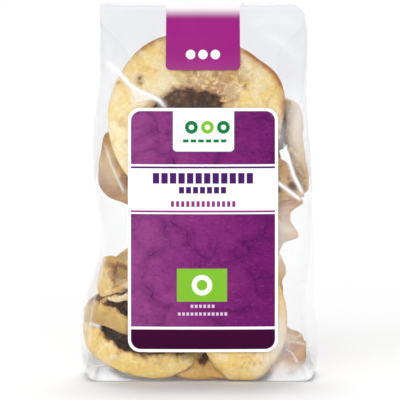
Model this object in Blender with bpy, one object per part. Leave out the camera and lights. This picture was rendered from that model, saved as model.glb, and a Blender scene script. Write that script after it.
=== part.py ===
"""Clear block-bottom bag of dried apple rings, standing, with a front label and a closing strip over its top.

The origin is the middle of the base, +Z is up and the front faces -Y. The bag is one closed solid
with the outer shape of the filled film bag: flat block bottom, bulging lower walls, side gussets that
fold inwards higher up, a top that narrows to a rolled fold, and the folded flap on the back.
The label and the strip are thin stickers that follow the film.
"""

import math

import bmesh
import bpy

MM = 0.001

# Bag, in millimetres
BAG_HEIGHT = 170.8
ROLL_RADIUS = 3.0
BASE_FILLET = 1.5
FLAP_BOTTOM = 143.0
FLAP_THICKNESS = 1.2
FLAP_STEP = 2.0
GUSSET_DEPTH = 15.0
GUSSET_START = 62.0
GUSSET_DEEPEST = 146.0
GUSSET_END = 165.0

# Half widths of the outline on the left and on the right, each at a height
LEFT_EDGE = (
    (0.0, 49.6), (4.5, 52.6), (11.4, 54.3), (19.0, 54.7), (29.8, 53.8), (39.0, 51.1), (48.2, 47.8),
    (60.0, 44.8), (71.2, 45.1), (87.0, 47.4), (103.4, 47.8), (121.8, 47.0), (133.0, 45.6), (170.8, 45.3),
)
RIGHT_EDGE = (
    (0.0, 51.0), (4.5, 54.0), (11.4, 54.6), (19.0, 54.7), (34.4, 52.6), (57.4, 52.9), (85.0, 51.8),
    (108.0, 50.1), (128.0, 48.8), (149.4, 49.5), (160.0, 49.1), (166.9, 47.6), (170.8, 42.5),
)

# Distance of the front and back walls from the middle plane, each at a height
FRONT_WALL = (
    (0.0, 29.0), (6.0, 30.6), (20.0, 32.0), (50.0, 32.0), (85.0, 30.0), (110.0, 27.0), (126.0, 24.0),
    (142.0, 18.0), (155.0, 11.0), (163.0, 6.0), (167.8, 3.0),
)
BACK_WALL = (
    (0.0, 29.0), (6.0, 30.4), (20.0, 31.0), (50.0, 31.0), (85.0, 29.6), (110.0, 26.5), (126.0, 22.5),
    (142.0, 15.5), (155.0, 9.0), (163.0, 5.0), (167.8, 3.0),
)

# How much the front and back walls fall away towards the sides, the bulge of the side walls, and the
# radius of the four upright edges, each at a height
WALL_CROWN = ((0.0, 0.5), (20.0, 3.0), (80.0, 4.5), (120.0, 4.0), (150.0, 1.6), (167.8, 0.3))
SIDE_BULGE = ((0.0, 0.6), (20.0, 5.0), (50.0, 3.0), (75.0, 1.0), (95.0, 0.0), (170.8, 0.0))
EDGE_RADIUS = ((0.0, 4.0), (20.0, 10.0), (80.0, 9.0), (120.0, 6.0), (150.0, 2.5), (167.8, 1.2))

# Apple rings that press on the walls from inside: middle across, middle up, radius across, radius up, height
FRONT_RINGS = ((-1.5, 119.0, 27.0, 23.0, 1.2), (-24.0, 33.0, 27.0, 22.0, 1.3), (22.0, 27.0, 19.0, 19.0, 1.3))
BACK_RINGS = ((4.0, 104.0, 25.0, 23.0, 1.2), (-24.0, 44.0, 22.0, 24.0, 1.3), (25.0, 38.0, 20.0, 22.0, 1.3))
RING_RIM = 7.0

# Stickers
STICKER_THICKNESS = 0.3
STICKER_GAP = 0.35
STICKER_MIDDLE = 1.8
LABEL_WIDTH = 67.5
LABEL_BOTTOM = 14.0
LABEL_TOP = 123.6
LABEL_CORNER = 5.5
LABEL_FADE = 7.0
STRIP_WIDTH = 33.6
STRIP_FRONT_END = 140.6
STRIP_BACK_END = 127.0
STRIP_CORNER = 2.0
STRIP_RAMP = 6.0

# Colours
FILM_COLOUR = (0.90, 0.86, 0.78)
FILM_ALPHA = 0.45
LABEL_COLOUR = (0.25, 0.04, 0.20)
STRIP_COLOUR = (0.37, 0.02, 0.24)

# Steps of the meshes, as numbers or in millimetres
FRONT_STEPS = 20
CORNER_STEPS = 4
SIDE_STEPS = 8
WALL_ROWS = 36
LEAST_ROW = 1.2
FILLET_ROWS = 2
ROLL_ANGLES = (25.0, 50.0, 70.0)
LABEL_COLUMNS = 14
LABEL_STEP = 5.0
STRIP_COLUMNS = 4
STRIP_STEP = 1.7
BAG_SHARP_ANGLE = 35.0
STICKER_SHARP_ANGLE = 50.0

ROLL_START = BAG_HEIGHT - ROLL_RADIUS


def value_at(points, height):
    """The value at a height on a smooth curve through (height, value) points."""
    if height <= points[0][0]:
        return points[0][1]
    if height >= points[-1][0]:
        return points[-1][1]
    i = next(k for k in range(len(points) - 1) if height <= points[k + 1][0])
    (h0, v0), (h1, v1) = points[i], points[i + 1]
    before, after = points[max(i - 1, 0)], points[min(i + 2, len(points) - 1)]
    slope0 = (v1 - before[1]) / (h1 - before[0])
    slope1 = (after[1] - v0) / (after[0] - h0)
    step = h1 - h0
    t = (height - h0) / step
    return (
        (2 * t**3 - 3 * t**2 + 1) * v0
        + (t**3 - 2 * t**2 + t) * step * slope0
        + (3 * t**2 - 2 * t**3) * v1
        + (t**3 - t**2) * step * slope1
    )


def smooth_step(low, high, value):
    """0 below low, 1 above high, and a smooth rise between them."""
    t = min(max((value - low) / (high - low), 0.0), 1.0)
    return t * t * (3 - 2 * t)


def outline(height):
    """(middle, half width) of the bag at a height, seen from the front."""
    left, right = value_at(LEFT_EDGE, height), value_at(RIGHT_EDGE, height)
    return (right - left) / 2, (right + left) / 2


def outside_sticker(x, height, bottom, top, half_width):
    """0 under a sticker, which holds the film flat, rising to 1 a little way outside it."""
    away = max(abs(x - STICKER_MIDDLE) - half_width, bottom - height, height - top)
    return smooth_step(0.0, LABEL_FADE, away)


def ring_relief(rings, x, height):
    """How far the apple rings push a wall out."""
    relief = 0.0
    for across, up, radius_across, radius_up, push in rings:
        share = math.hypot((x - across) / radius_across, (height - up) / radius_up)
        from_rim = (share - 1) * min(radius_across, radius_up)
        relief += push * math.exp(-((from_rim / RING_RIM) ** 2))
    return relief


def crown(x, height):
    middle, half = outline(height)
    return value_at(WALL_CROWN, height) * ((x - middle) / half) ** 2


def front_depth(x, height):
    """Distance of the front wall from the middle plane."""
    free = outside_sticker(x, height, LABEL_BOTTOM, LABEL_TOP, LABEL_WIDTH / 2)
    free *= outside_sticker(x, height, STRIP_FRONT_END, BAG_HEIGHT, STRIP_WIDTH / 2)
    return value_at(FRONT_WALL, height) - crown(x, height) + free * ring_relief(FRONT_RINGS, x, height)


def back_depth(x, height, ramp=FLAP_STEP):
    """Distance of the back wall from the middle plane, with the folded flap near the top."""
    free = outside_sticker(x, height, STRIP_BACK_END, BAG_HEIGHT, STRIP_WIDTH / 2)
    flap = FLAP_THICKNESS * smooth_step(FLAP_BOTTOM - ramp, FLAP_BOTTOM, height)
    relief = free * ring_relief(BACK_RINGS, x, height)
    return value_at(BACK_WALL, height) - crown(x, height) + flap + relief


def gusset_depth(height):
    """How far the middle of a side wall is folded inwards."""
    rise = smooth_step(GUSSET_START, GUSSET_DEEPEST, height)
    fall = 1 - smooth_step(GUSSET_DEEPEST, GUSSET_END, height)
    return GUSSET_DEPTH * min(rise, fall)


def section(height, wall_height, inset=0.0, squeeze=1.0):
    """Points round the bag at a height, in order: front, right corner and side, back, left side and corner.

    wall_height is the height at which the walls are read, inset moves every wall inwards, and squeeze
    brings the front and back walls together in the roll at the top.
    """
    middle, half = outline(height)
    bulge = value_at(SIDE_BULGE, wall_height)
    fold = gusset_depth(wall_height)
    box_half = half - bulge - inset

    def front(x):
        return (front_depth(x, wall_height) - inset) * squeeze

    def back(x):
        return (back_depth(x, wall_height) - inset) * squeeze

    front_right, back_right = front(middle + box_half), back(middle + box_half)
    front_left, back_left = front(middle - box_half), back(middle - box_half)
    least = min(front_right, back_right, front_left, back_left)
    radius = min(value_at(EDGE_RADIUS, wall_height), 0.6 * least)
    reach = box_half - radius

    def side(sign, start, end):
        """Points up one side wall, from depth start to depth end, folded inwards at its middle."""
        points = []
        for k in range(SIDE_STEPS + 1):
            t = 2 * k / SIDE_STEPS - 1
            out = bulge * (1 - t * t) - fold * (1 - abs(t))
            points.append((middle + sign * (box_half + out), start + (end - start) * (t + 1) / 2))
        return points

    def corner(sign_x, depth, first, last):
        """Points inside a rounded corner, its ends left out, from angle first to angle last."""
        points = []
        for k in range(1, CORNER_STEPS):
            angle = math.radians(first + (last - first) * k / CORNER_STEPS)
            points.append((middle + sign_x * (reach + radius * math.sin(angle)), depth(angle)))
        return points

    def wall(sign, depth, sign_y):
        """Points across the front or the back wall, starting on side sign."""
        steps = [sign * (1 - 2 * k / FRONT_STEPS) for k in range(FRONT_STEPS + 1)]
        return [(middle + reach * s, sign_y * depth(middle + reach * s)) for s in steps]

    front_r, front_l = front(middle + reach), front(middle - reach)
    back_r, back_l = back(middle + reach), back(middle - reach)
    points = wall(-1, front, -1)
    points += corner(1, lambda a: -(front_r - radius) - radius * math.cos(a), 0, 90)
    points += side(1, -(front_r - radius), back_r - radius)
    points += corner(1, lambda a: (back_r - radius) + radius * math.cos(a), 90, 0)
    points += wall(1, back, 1)
    points += corner(-1, lambda a: (back_l - radius) + radius * math.cos(a), 0, 90)
    points += side(-1, back_l - radius, -(front_l - radius))
    points += corner(-1, lambda a: -(front_l - radius) - radius * math.cos(a), 90, 0)
    return [(x, y, height) for x, y in points]


def wall_heights():
    """Heights of the rows between the base and the roll, with two rows at the edge of the flap."""
    flap_edges = [FLAP_BOTTOM - FLAP_STEP, FLAP_BOTTOM]
    climb = ROLL_START - BASE_FILLET
    even = [BASE_FILLET + climb * k / WALL_ROWS for k in range(1, WALL_ROWS + 1)]
    kept = [h for h in even if all(abs(h - edge) > LEAST_ROW for edge in flap_edges)]
    return sorted(kept + flap_edges)


def bag_sections():
    """The bag's sections from the base to the top."""
    sections = []
    for k in range(FILLET_ROWS + 1):
        angle = math.radians(90 * k / FILLET_ROWS)
        height = BASE_FILLET * (1 - math.cos(angle))
        sections.append(section(height, height, inset=BASE_FILLET * (1 - math.sin(angle))))
    sections += [section(height, height) for height in wall_heights()]
    for degrees in ROLL_ANGLES:
        angle = math.radians(degrees)
        height = ROLL_START + ROLL_RADIUS * math.sin(angle)
        sections.append(section(height, ROLL_START, squeeze=math.cos(angle)))
    return sections


def material(name, colour, roughness, alpha=1.0):
    """A Principled material of one colour."""
    made = bpy.data.materials.new(name)
    made.use_nodes = True
    shader = made.node_tree.nodes["Principled BSDF"]
    shader.inputs["Base Color"].default_value = (*colour, 1.0)
    shader.inputs["Roughness"].default_value = roughness
    shader.inputs["Metallic"].default_value = 0.0
    shader.inputs["Alpha"].default_value = alpha
    made.diffuse_color = (*colour, alpha)
    return made


def add_object(name, bm, made_of, sharp_angle):
    """A scene object from bmesh geometry in millimetres."""
    bmesh.ops.scale(bm, vec=(MM, MM, MM), verts=bm.verts)
    mesh = bpy.data.meshes.new(name)
    bm.to_mesh(mesh)
    bm.free()
    mesh.shade_smooth()
    mesh.set_sharp_from_angle(angle=math.radians(sharp_angle))
    mesh.materials.append(made_of)
    obj = bpy.data.objects.new(name, mesh)
    bpy.context.scene.collection.objects.link(obj)
    return obj


def add_bag(made_of):
    """The filled bag: closed loops joined row by row, with a flat base and a narrow flat top."""
    bm = bmesh.new()
    loops = [[bm.verts.new(point) for point in points] for points in bag_sections()]
    for low, high in zip(loops, loops[1:]):
        for k in range(len(low)):
            n = (k + 1) % len(low)
            bm.faces.new((low[k], low[n], high[n], high[k]))
    bm.faces.new(reversed(loops[0]))
    bm.faces.new(loops[-1])
    return add_object("bag", bm, made_of, BAG_SHARP_ANGLE)


def rounded_share(from_end, half_width, corner):
    """The share of its half width that a sticker keeps at a distance from its rounded end."""
    if from_end >= corner:
        return 1.0
    return 1.0 - (corner - math.sqrt(corner**2 - (corner - from_end) ** 2)) / half_width


def stations(length, corner, step):
    """Distances along a sticker, closer together in its rounded corners."""
    angles = [math.radians(90 * k / CORNER_STEPS) for k in range(CORNER_STEPS)]
    rounded = [corner * (1 - math.cos(angle)) for angle in angles]
    rows = round((length - 2 * corner) / step)
    straight = [corner + (length - 2 * corner) * k / rows for k in range(rows + 1)]
    return rounded + straight + [length - along for along in reversed(rounded)]


def add_sticker(name, made_of, length, width, corner, step, columns, place):
    """A thin sheet on the film. place(x, along) gives a point of its inner face."""
    bm = bmesh.new()
    rows = []
    for along in stations(length, corner, step):
        half = width / 2 * rounded_share(min(along, length - along), width / 2, corner)
        xs = [STICKER_MIDDLE + half * (2 * k / columns - 1) for k in range(columns + 1)]
        rows.append([bm.verts.new(place(x, along)) for x in xs])
    for low, high in zip(rows, rows[1:]):
        for k in range(columns):
            bm.faces.new((low[k], low[k + 1], high[k + 1], high[k]))
    sticker = add_object(name, bm, made_of, STICKER_SHARP_ANGLE)
    thickness = sticker.modifiers.new("thickness", "SOLIDIFY")
    thickness.thickness = STICKER_THICKNESS * MM
    thickness.offset = 1.0
    return sticker


def label_point(x, along):
    """A point on the inner face of the label, at a distance up from its lower end."""
    height = LABEL_BOTTOM + along
    return (x, -(front_depth(x, height) + STICKER_GAP), height)


def add_front_label(made_of):
    length = LABEL_TOP - LABEL_BOTTOM
    return add_sticker(
        "front_label", made_of, length, LABEL_WIDTH, LABEL_CORNER, LABEL_STEP, LABEL_COLUMNS, label_point
    )


def strip_point(x, along):
    """A point on the inner face of the strip: up the front, over the roll and down the back."""
    up_front = ROLL_START - STRIP_FRONT_END
    over_roll = math.pi * (ROLL_RADIUS + STICKER_GAP)
    if along <= up_front:
        height = STRIP_FRONT_END + along
        return (x, -(front_depth(x, height) + STICKER_GAP), height)
    if along >= up_front + over_roll:
        height = ROLL_START - (along - up_front - over_roll)
        return (x, back_depth(x, height, STRIP_RAMP) + STICKER_GAP, height)
    angle = math.pi * (along - up_front) / over_roll
    wall = front_depth(x, ROLL_START) if angle < math.pi / 2 else back_depth(x, ROLL_START)
    depth = (wall + STICKER_GAP) * math.cos(angle)
    return (x, -depth, ROLL_START + (ROLL_RADIUS + STICKER_GAP) * math.sin(angle))


def add_closing_strip(made_of):
    over_roll = math.pi * (ROLL_RADIUS + STICKER_GAP)
    length = (ROLL_START - STRIP_FRONT_END) + over_roll + (ROLL_START - STRIP_BACK_END)
    return add_sticker(
        "closing_strip", made_of, length, STRIP_WIDTH, STRIP_CORNER, STRIP_STEP, STRIP_COLUMNS, strip_point
    )


def main():
    for obj in list(bpy.data.objects):
        bpy.data.objects.remove(obj)
    add_bag(material("clear_film", FILM_COLOUR, 0.15, alpha=FILM_ALPHA))
    add_front_label(material("label_print", LABEL_COLOUR, 0.35))
    add_closing_strip(material("strip_print", STRIP_COLOUR, 0.3))


main()
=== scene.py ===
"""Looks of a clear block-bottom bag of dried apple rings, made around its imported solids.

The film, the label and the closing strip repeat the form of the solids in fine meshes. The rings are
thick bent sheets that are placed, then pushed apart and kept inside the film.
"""

import math
import random

import bpy
import numpy as np
from mathutils import Matrix, Vector, noise
from mathutils.bvhtree import BVHTree

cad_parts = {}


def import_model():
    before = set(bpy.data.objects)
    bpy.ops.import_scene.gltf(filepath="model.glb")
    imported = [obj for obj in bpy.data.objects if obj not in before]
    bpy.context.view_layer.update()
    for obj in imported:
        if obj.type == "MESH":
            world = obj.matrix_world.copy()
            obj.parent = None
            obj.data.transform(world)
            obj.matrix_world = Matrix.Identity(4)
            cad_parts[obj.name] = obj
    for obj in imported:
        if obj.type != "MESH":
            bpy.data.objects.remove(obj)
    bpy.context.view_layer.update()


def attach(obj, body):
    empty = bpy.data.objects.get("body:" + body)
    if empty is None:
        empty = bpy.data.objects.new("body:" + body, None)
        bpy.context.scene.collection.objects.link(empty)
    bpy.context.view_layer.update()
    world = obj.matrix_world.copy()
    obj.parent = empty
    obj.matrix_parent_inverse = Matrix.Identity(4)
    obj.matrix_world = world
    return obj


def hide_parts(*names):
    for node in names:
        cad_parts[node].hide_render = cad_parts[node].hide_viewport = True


MM = 0.001

# Form of the bag in millimetres, the same values as in the solids
BAG_HEIGHT = 170.8
ROLL_RADIUS = 3.0
ROLL_START = BAG_HEIGHT - ROLL_RADIUS
BASE_FILLET = 1.5
FLAP_BOTTOM = 143.0
FLAP_THICKNESS = 1.2
FLAP_STEP = 2.0
GUSSET_DEPTH = 15.0
GUSSET_START = 62.0
GUSSET_DEEPEST = 146.0
GUSSET_END = 165.0
LEFT_EDGE = (
    (0.0, 49.6), (4.5, 52.6), (11.4, 54.3), (19.0, 54.7), (29.8, 53.8), (39.0, 51.1), (48.2, 47.8),
    (60.0, 44.8), (71.2, 45.1), (87.0, 47.4), (103.4, 47.8), (121.8, 47.0), (133.0, 45.6), (170.8, 45.3),
)
RIGHT_EDGE = (
    (0.0, 51.0), (4.5, 54.0), (11.4, 54.6), (19.0, 54.7), (34.4, 52.6), (57.4, 52.9), (85.0, 51.8),
    (108.0, 50.1), (128.0, 48.8), (149.4, 49.5), (160.0, 49.1), (166.9, 47.6), (170.8, 42.5),
)
FRONT_WALL = (
    (0.0, 29.0), (6.0, 30.6), (20.0, 32.0), (50.0, 32.0), (85.0, 30.0), (110.0, 27.0), (126.0, 24.0),
    (142.0, 18.0), (155.0, 11.0), (163.0, 6.0), (167.8, 3.0),
)
BACK_WALL = (
    (0.0, 29.0), (6.0, 30.4), (20.0, 31.0), (50.0, 31.0), (85.0, 29.6), (110.0, 26.5), (126.0, 22.5),
    (142.0, 15.5), (155.0, 9.0), (163.0, 5.0), (167.8, 3.0),
)
WALL_CROWN = ((0.0, 0.5), (20.0, 3.0), (80.0, 4.5), (120.0, 4.0), (150.0, 1.6), (167.8, 0.3))
SIDE_BULGE = ((0.0, 0.6), (20.0, 5.0), (50.0, 3.0), (75.0, 1.0), (95.0, 0.0), (170.8, 0.0))
EDGE_RADIUS = ((0.0, 4.0), (20.0, 10.0), (80.0, 9.0), (120.0, 6.0), (150.0, 2.5), (167.8, 1.2))
# The upright edges: their radius as a share of the wall's depth at most, and the least that fruit keeps
EDGE_SHARE = 0.6
LEAST_CORNER = 0.3
FRONT_RINGS = ((-1.5, 119.0, 27.0, 23.0, 1.2), (-24.0, 33.0, 27.0, 22.0, 1.3), (22.0, 27.0, 19.0, 19.0, 1.3))
BACK_RINGS = ((4.0, 104.0, 25.0, 23.0, 1.2), (-24.0, 44.0, 22.0, 24.0, 1.3), (25.0, 38.0, 20.0, 22.0, 1.3))
RING_RIM = 7.0
STICKER_GAP = 0.35
STICKER_THICKNESS = 0.3
STICKER_MIDDLE = 1.8
LABEL_WIDTH = 67.5
LABEL_BOTTOM = 14.0
LABEL_TOP = 123.6
LABEL_CORNER = 5.5
LABEL_FADE = 7.0
STRIP_WIDTH = 33.6
STRIP_FRONT_END = 140.6
STRIP_BACK_END = 127.0
STRIP_CORNER = 2.0
STRIP_RAMP = 6.0


# Form of the bag

def value_at(points, height):
    """The value at a height on a smooth curve through (height, value) points."""
    heights, values = np.array(points, float).T
    slopes = np.empty(len(values))
    slopes[1:-1] = (values[2:] - values[:-2]) / (heights[2:] - heights[:-2])
    slopes[0] = (values[1] - values[0]) / (heights[1] - heights[0])
    slopes[-1] = (values[-1] - values[-2]) / (heights[-1] - heights[-2])
    h = np.clip(height, heights[0], heights[-1])
    i = np.clip(np.searchsorted(heights, h) - 1, 0, len(heights) - 2)
    step = heights[i + 1] - heights[i]
    t = (h - heights[i]) / step
    return (
        (2 * t**3 - 3 * t**2 + 1) * values[i]
        + (t**3 - 2 * t**2 + t) * step * slopes[i]
        + (3 * t**2 - 2 * t**3) * values[i + 1]
        + (t**3 - t**2) * step * slopes[i + 1]
    )


def smooth_step(low, high, value):
    """0 below low, 1 above high, and a smooth rise between them."""
    t = np.clip((value - low) / (high - low), 0.0, 1.0)
    return t * t * (3 - 2 * t)


def outline(height):
    """(middle, half width) of the bag at a height, seen from the front."""
    left, right = value_at(LEFT_EDGE, height), value_at(RIGHT_EDGE, height)
    return (right - left) / 2, (right + left) / 2


def outside_sticker(x, height, bottom, top, half_width):
    """0 under a sticker, which holds the film flat, rising to 1 a little way outside it."""
    away = np.maximum(np.maximum(np.abs(x - STICKER_MIDDLE) - half_width, bottom - height), height - top)
    return smooth_step(0.0, LABEL_FADE, away)


def ring_relief(rings, x, height):
    """How far the apple rings push a wall out."""
    relief = 0.0
    for across, up, radius_across, radius_up, push in rings:
        share = np.hypot((x - across) / radius_across, (height - up) / radius_up)
        from_rim = (share - 1) * min(radius_across, radius_up)
        relief = relief + push * np.exp(-((from_rim / RING_RIM) ** 2))
    return relief


def crown(x, height):
    """How much nearer to the middle plane a wall is at x than in its own middle."""
    middle, half = outline(height)
    return value_at(WALL_CROWN, height) * ((x - middle) / half) ** 2


def front_free(x, height):
    """0 where the label or the strip holds the front wall, 1 away from them."""
    free = outside_sticker(x, height, LABEL_BOTTOM, LABEL_TOP, LABEL_WIDTH / 2)
    return free * outside_sticker(x, height, STRIP_FRONT_END, BAG_HEIGHT, STRIP_WIDTH / 2)


def back_free(x, height):
    """0 where the strip holds the back wall, 1 away from it."""
    return outside_sticker(x, height, STRIP_BACK_END, BAG_HEIGHT, STRIP_WIDTH / 2)


def front_depth(x, height):
    """Distance of the front wall from the middle plane."""
    relief = front_free(x, height) * ring_relief(FRONT_RINGS, x, height)
    return value_at(FRONT_WALL, height) - crown(x, height) + relief


def back_depth(x, height, ramp=FLAP_STEP):
    """Distance of the back wall from the middle plane, with the folded flap near the top."""
    flap = FLAP_THICKNESS * smooth_step(FLAP_BOTTOM - ramp, FLAP_BOTTOM, height)
    relief = back_free(x, height) * ring_relief(BACK_RINGS, x, height)
    return value_at(BACK_WALL, height) - crown(x, height) + flap + relief


def gusset_depth(height):
    """How far the middle of a side wall is folded inwards."""
    rise = smooth_step(GUSSET_START, GUSSET_DEEPEST, height)
    fall = 1 - smooth_step(GUSSET_DEEPEST, GUSSET_END, height)
    return GUSSET_DEPTH * np.minimum(rise, fall)


def inside(points, margin, side_margin):
    """The same points, kept a margin from the front and back and a side margin from the sides and base."""
    x, y, z = points[..., 0], points[..., 1], points[..., 2]
    z = np.clip(z, side_margin, BAG_HEIGHT)
    middle, half = outline(z)
    front, back = front_depth(x, z), back_depth(x, z)
    bulge, fold = value_at(SIDE_BULGE, z), gusset_depth(z)
    radius = np.minimum(value_at(EDGE_RADIUS, z), EDGE_SHARE * np.minimum(front, back))
    box_half = half - bulge
    t = np.clip(np.where(y < 0, y / (front - radius), y / (back - radius)), -1, 1)
    side = box_half + bulge * (1 - t * t) - fold * (1 - np.abs(t)) - side_margin
    x = middle + np.clip(x - middle, -side, side)
    y = np.clip(y, margin - front, back - margin)
    # The rounded upright edges
    depth = np.where(y < 0, front, back)
    over_x = np.abs(x - middle) - (box_half - radius)
    over_y = np.abs(y) - (depth - radius)
    reach = np.maximum(radius - margin, LEAST_CORNER)
    length = np.hypot(over_x, over_y)
    shrink = np.where((over_x > 0) & (over_y > 0) & (length > reach), reach / np.maximum(length, 1e-6), 1.0)
    x = np.where(shrink < 1, middle + np.sign(x - middle) * (box_half - radius + over_x * shrink), x)
    y = np.where(shrink < 1, np.sign(y) * (depth - radius + over_y * shrink), y)
    return np.stack((x, y, z), axis=-1)


# Meshes

def add_mesh(name, points, faces, material, attributes=()):
    """A smooth object from points in millimetres. attributes are (name, one value for each point)."""
    mesh = bpy.data.meshes.new(name)
    mesh.from_pydata((np.asarray(points) * MM).tolist(), [], faces)
    mesh.update()
    mesh.shade_smooth()
    mesh.materials.append(material)
    for label, values in attributes:
        layer = mesh.attributes.new(label, "FLOAT", "POINT")
        layer.data.foreach_set("value", np.asarray(values, np.float32))
    obj = bpy.data.objects.new(name, mesh)
    bpy.context.scene.collection.objects.link(obj)
    return obj


def strip_faces(rows, columns, closed=False, first=0):
    """Quads of a grid of rows by columns. closed joins the last column to the first."""
    faces = []
    for r in range(rows - 1):
        for c in range(columns if closed else columns - 1):
            n = (c + 1) % columns
            low, high = first + r * columns, first + (r + 1) * columns
            faces.append((low + c, low + n, high + n, high + c))
    return faces


def unit(vectors):
    return vectors / np.maximum(np.linalg.norm(vectors, axis=-1, keepdims=True), 1e-9)


# How far apart two seeds read the noise
SEED_STEP = (17.3, 7.1, 3.7)


def perlin(points, size, seed):
    """Smooth noise, one value for each point, with bumps of a size in the points' unit."""
    shift = Vector([seed * step for step in SEED_STEP])
    flat = points.reshape(-1, 3) / size
    values = [noise.noise(Vector(p) + shift) for p in flat.tolist()]
    return np.array(values).reshape(points.shape[:-1])


# Materials

class Graph:
    """The nodes of one material."""

    def __init__(self, name):
        self.material = bpy.data.materials.new(name)
        self.material.use_nodes = True
        self.tree = self.material.node_tree
        self.tree.nodes.clear()

    def set(self, socket, value):
        if isinstance(value, bpy.types.NodeSocket):
            self.tree.links.new(value, socket)
        elif isinstance(value, tuple) and len(value) == 3 and socket.type == "RGBA":
            socket.default_value = (*value, 1.0)
        else:
            socket.default_value = value

    def add(self, kind, inputs=(), **settings):
        """A node. inputs are (socket name or number, value or socket)."""
        node = self.tree.nodes.new(kind)
        for key, value in settings.items():
            setattr(node, key, value)
        for key, value in inputs:
            self.set(node.inputs[key], value)
        return node

    def attribute(self, name):
        return self.add("ShaderNodeAttribute", attribute_name=name).outputs["Fac"]

    def math(self, operation, *values, clamp=False):
        inputs = list(enumerate(values))
        return self.add("ShaderNodeMath", inputs, operation=operation, use_clamp=clamp).outputs[0]

    def product(self, *values):
        result = values[0]
        for value in values[1:]:
            result = self.math("MULTIPLY", result, value)
        return result

    def distance(self, value, target):
        """How far a value is from a target, on either side."""
        return self.math("ABSOLUTE", self.math("SUBTRACT", value, target))

    def ramp(self, value, low, high, start=0.0, end=1.0):
        """A smooth change from start to end as value goes from low to high."""
        inputs = (("Value", value), ("From Min", low), ("From Max", high), ("To Min", start), ("To Max", end))
        node = self.add("ShaderNodeMapRange", inputs, interpolation_type="SMOOTHSTEP")
        return node.outputs["Result"]

    def mix(self, share, first, second):
        node = self.add("ShaderNodeMix", data_type="RGBA")
        for number, value in ((0, share), (6, first), (7, second)):
            self.set(node.inputs[number], value)
        return node.outputs[2]

    def place(self, scale=(1.0, 1.0, 1.0)):
        """The object's own coordinates, in metres, times a scale."""
        coordinates = self.add("ShaderNodeTexCoord").outputs["Object"]
        return self.add("ShaderNodeMapping", (("Vector", coordinates), ("Scale", scale))).outputs[0]

    def noise(self, vector, size, detail=3.0, roughness=0.55, distortion=0.0):
        """Noise from 0 to 1 with features of a size in metres."""
        inputs = (
            ("Vector", vector), ("Scale", 1.0 / size), ("Detail", detail),
            ("Roughness", roughness), ("Distortion", distortion),
        )
        return self.add("ShaderNodeTexNoise", inputs).outputs["Fac"]

    def bump(self, height, strength, distance):
        inputs = (("Height", height), ("Strength", strength), ("Distance", distance))
        return self.add("ShaderNodeBump", inputs).outputs["Normal"]

    def finish(self, shader):
        self.add("ShaderNodeOutputMaterial", (("Surface", shader),))
        return self.material

    def surface(self, colour, roughness, specular, *more):
        """The finished material of an opaque surface."""
        inputs = (("Base Color", colour), ("Roughness", roughness), ("Specular IOR Level", specular), *more)
        return self.finish(self.add("ShaderNodeBsdfPrincipled", inputs).outputs[0])


def shade(red, green, blue):
    """A colour given as 0 to 255 on a screen, as linear light."""
    parts = [value / 255 for value in (red, green, blue)]
    return tuple(p / 12.92 if p <= 0.04045 else ((p + 0.055) / 1.055) ** 2.4 for p in parts)


CREAM = shade(250, 237, 191)
GOLD = shade(248, 218, 132)
PALE = shade(251, 241, 212)
AMBER = shade(214, 166, 92)
RIM_ORANGE = shade(182, 112, 52)
TOAST = shade(190, 128, 84)
TAN = shade(160, 124, 70)
CORE_BROWN = shade(134, 72, 38)
STAIN_BROWN = shade(152, 84, 34)
CORE_DARK = shade(32, 12, 15)
SPECK = shade(140, 92, 48)
FINE_TAN = shade(196, 142, 84)


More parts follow.
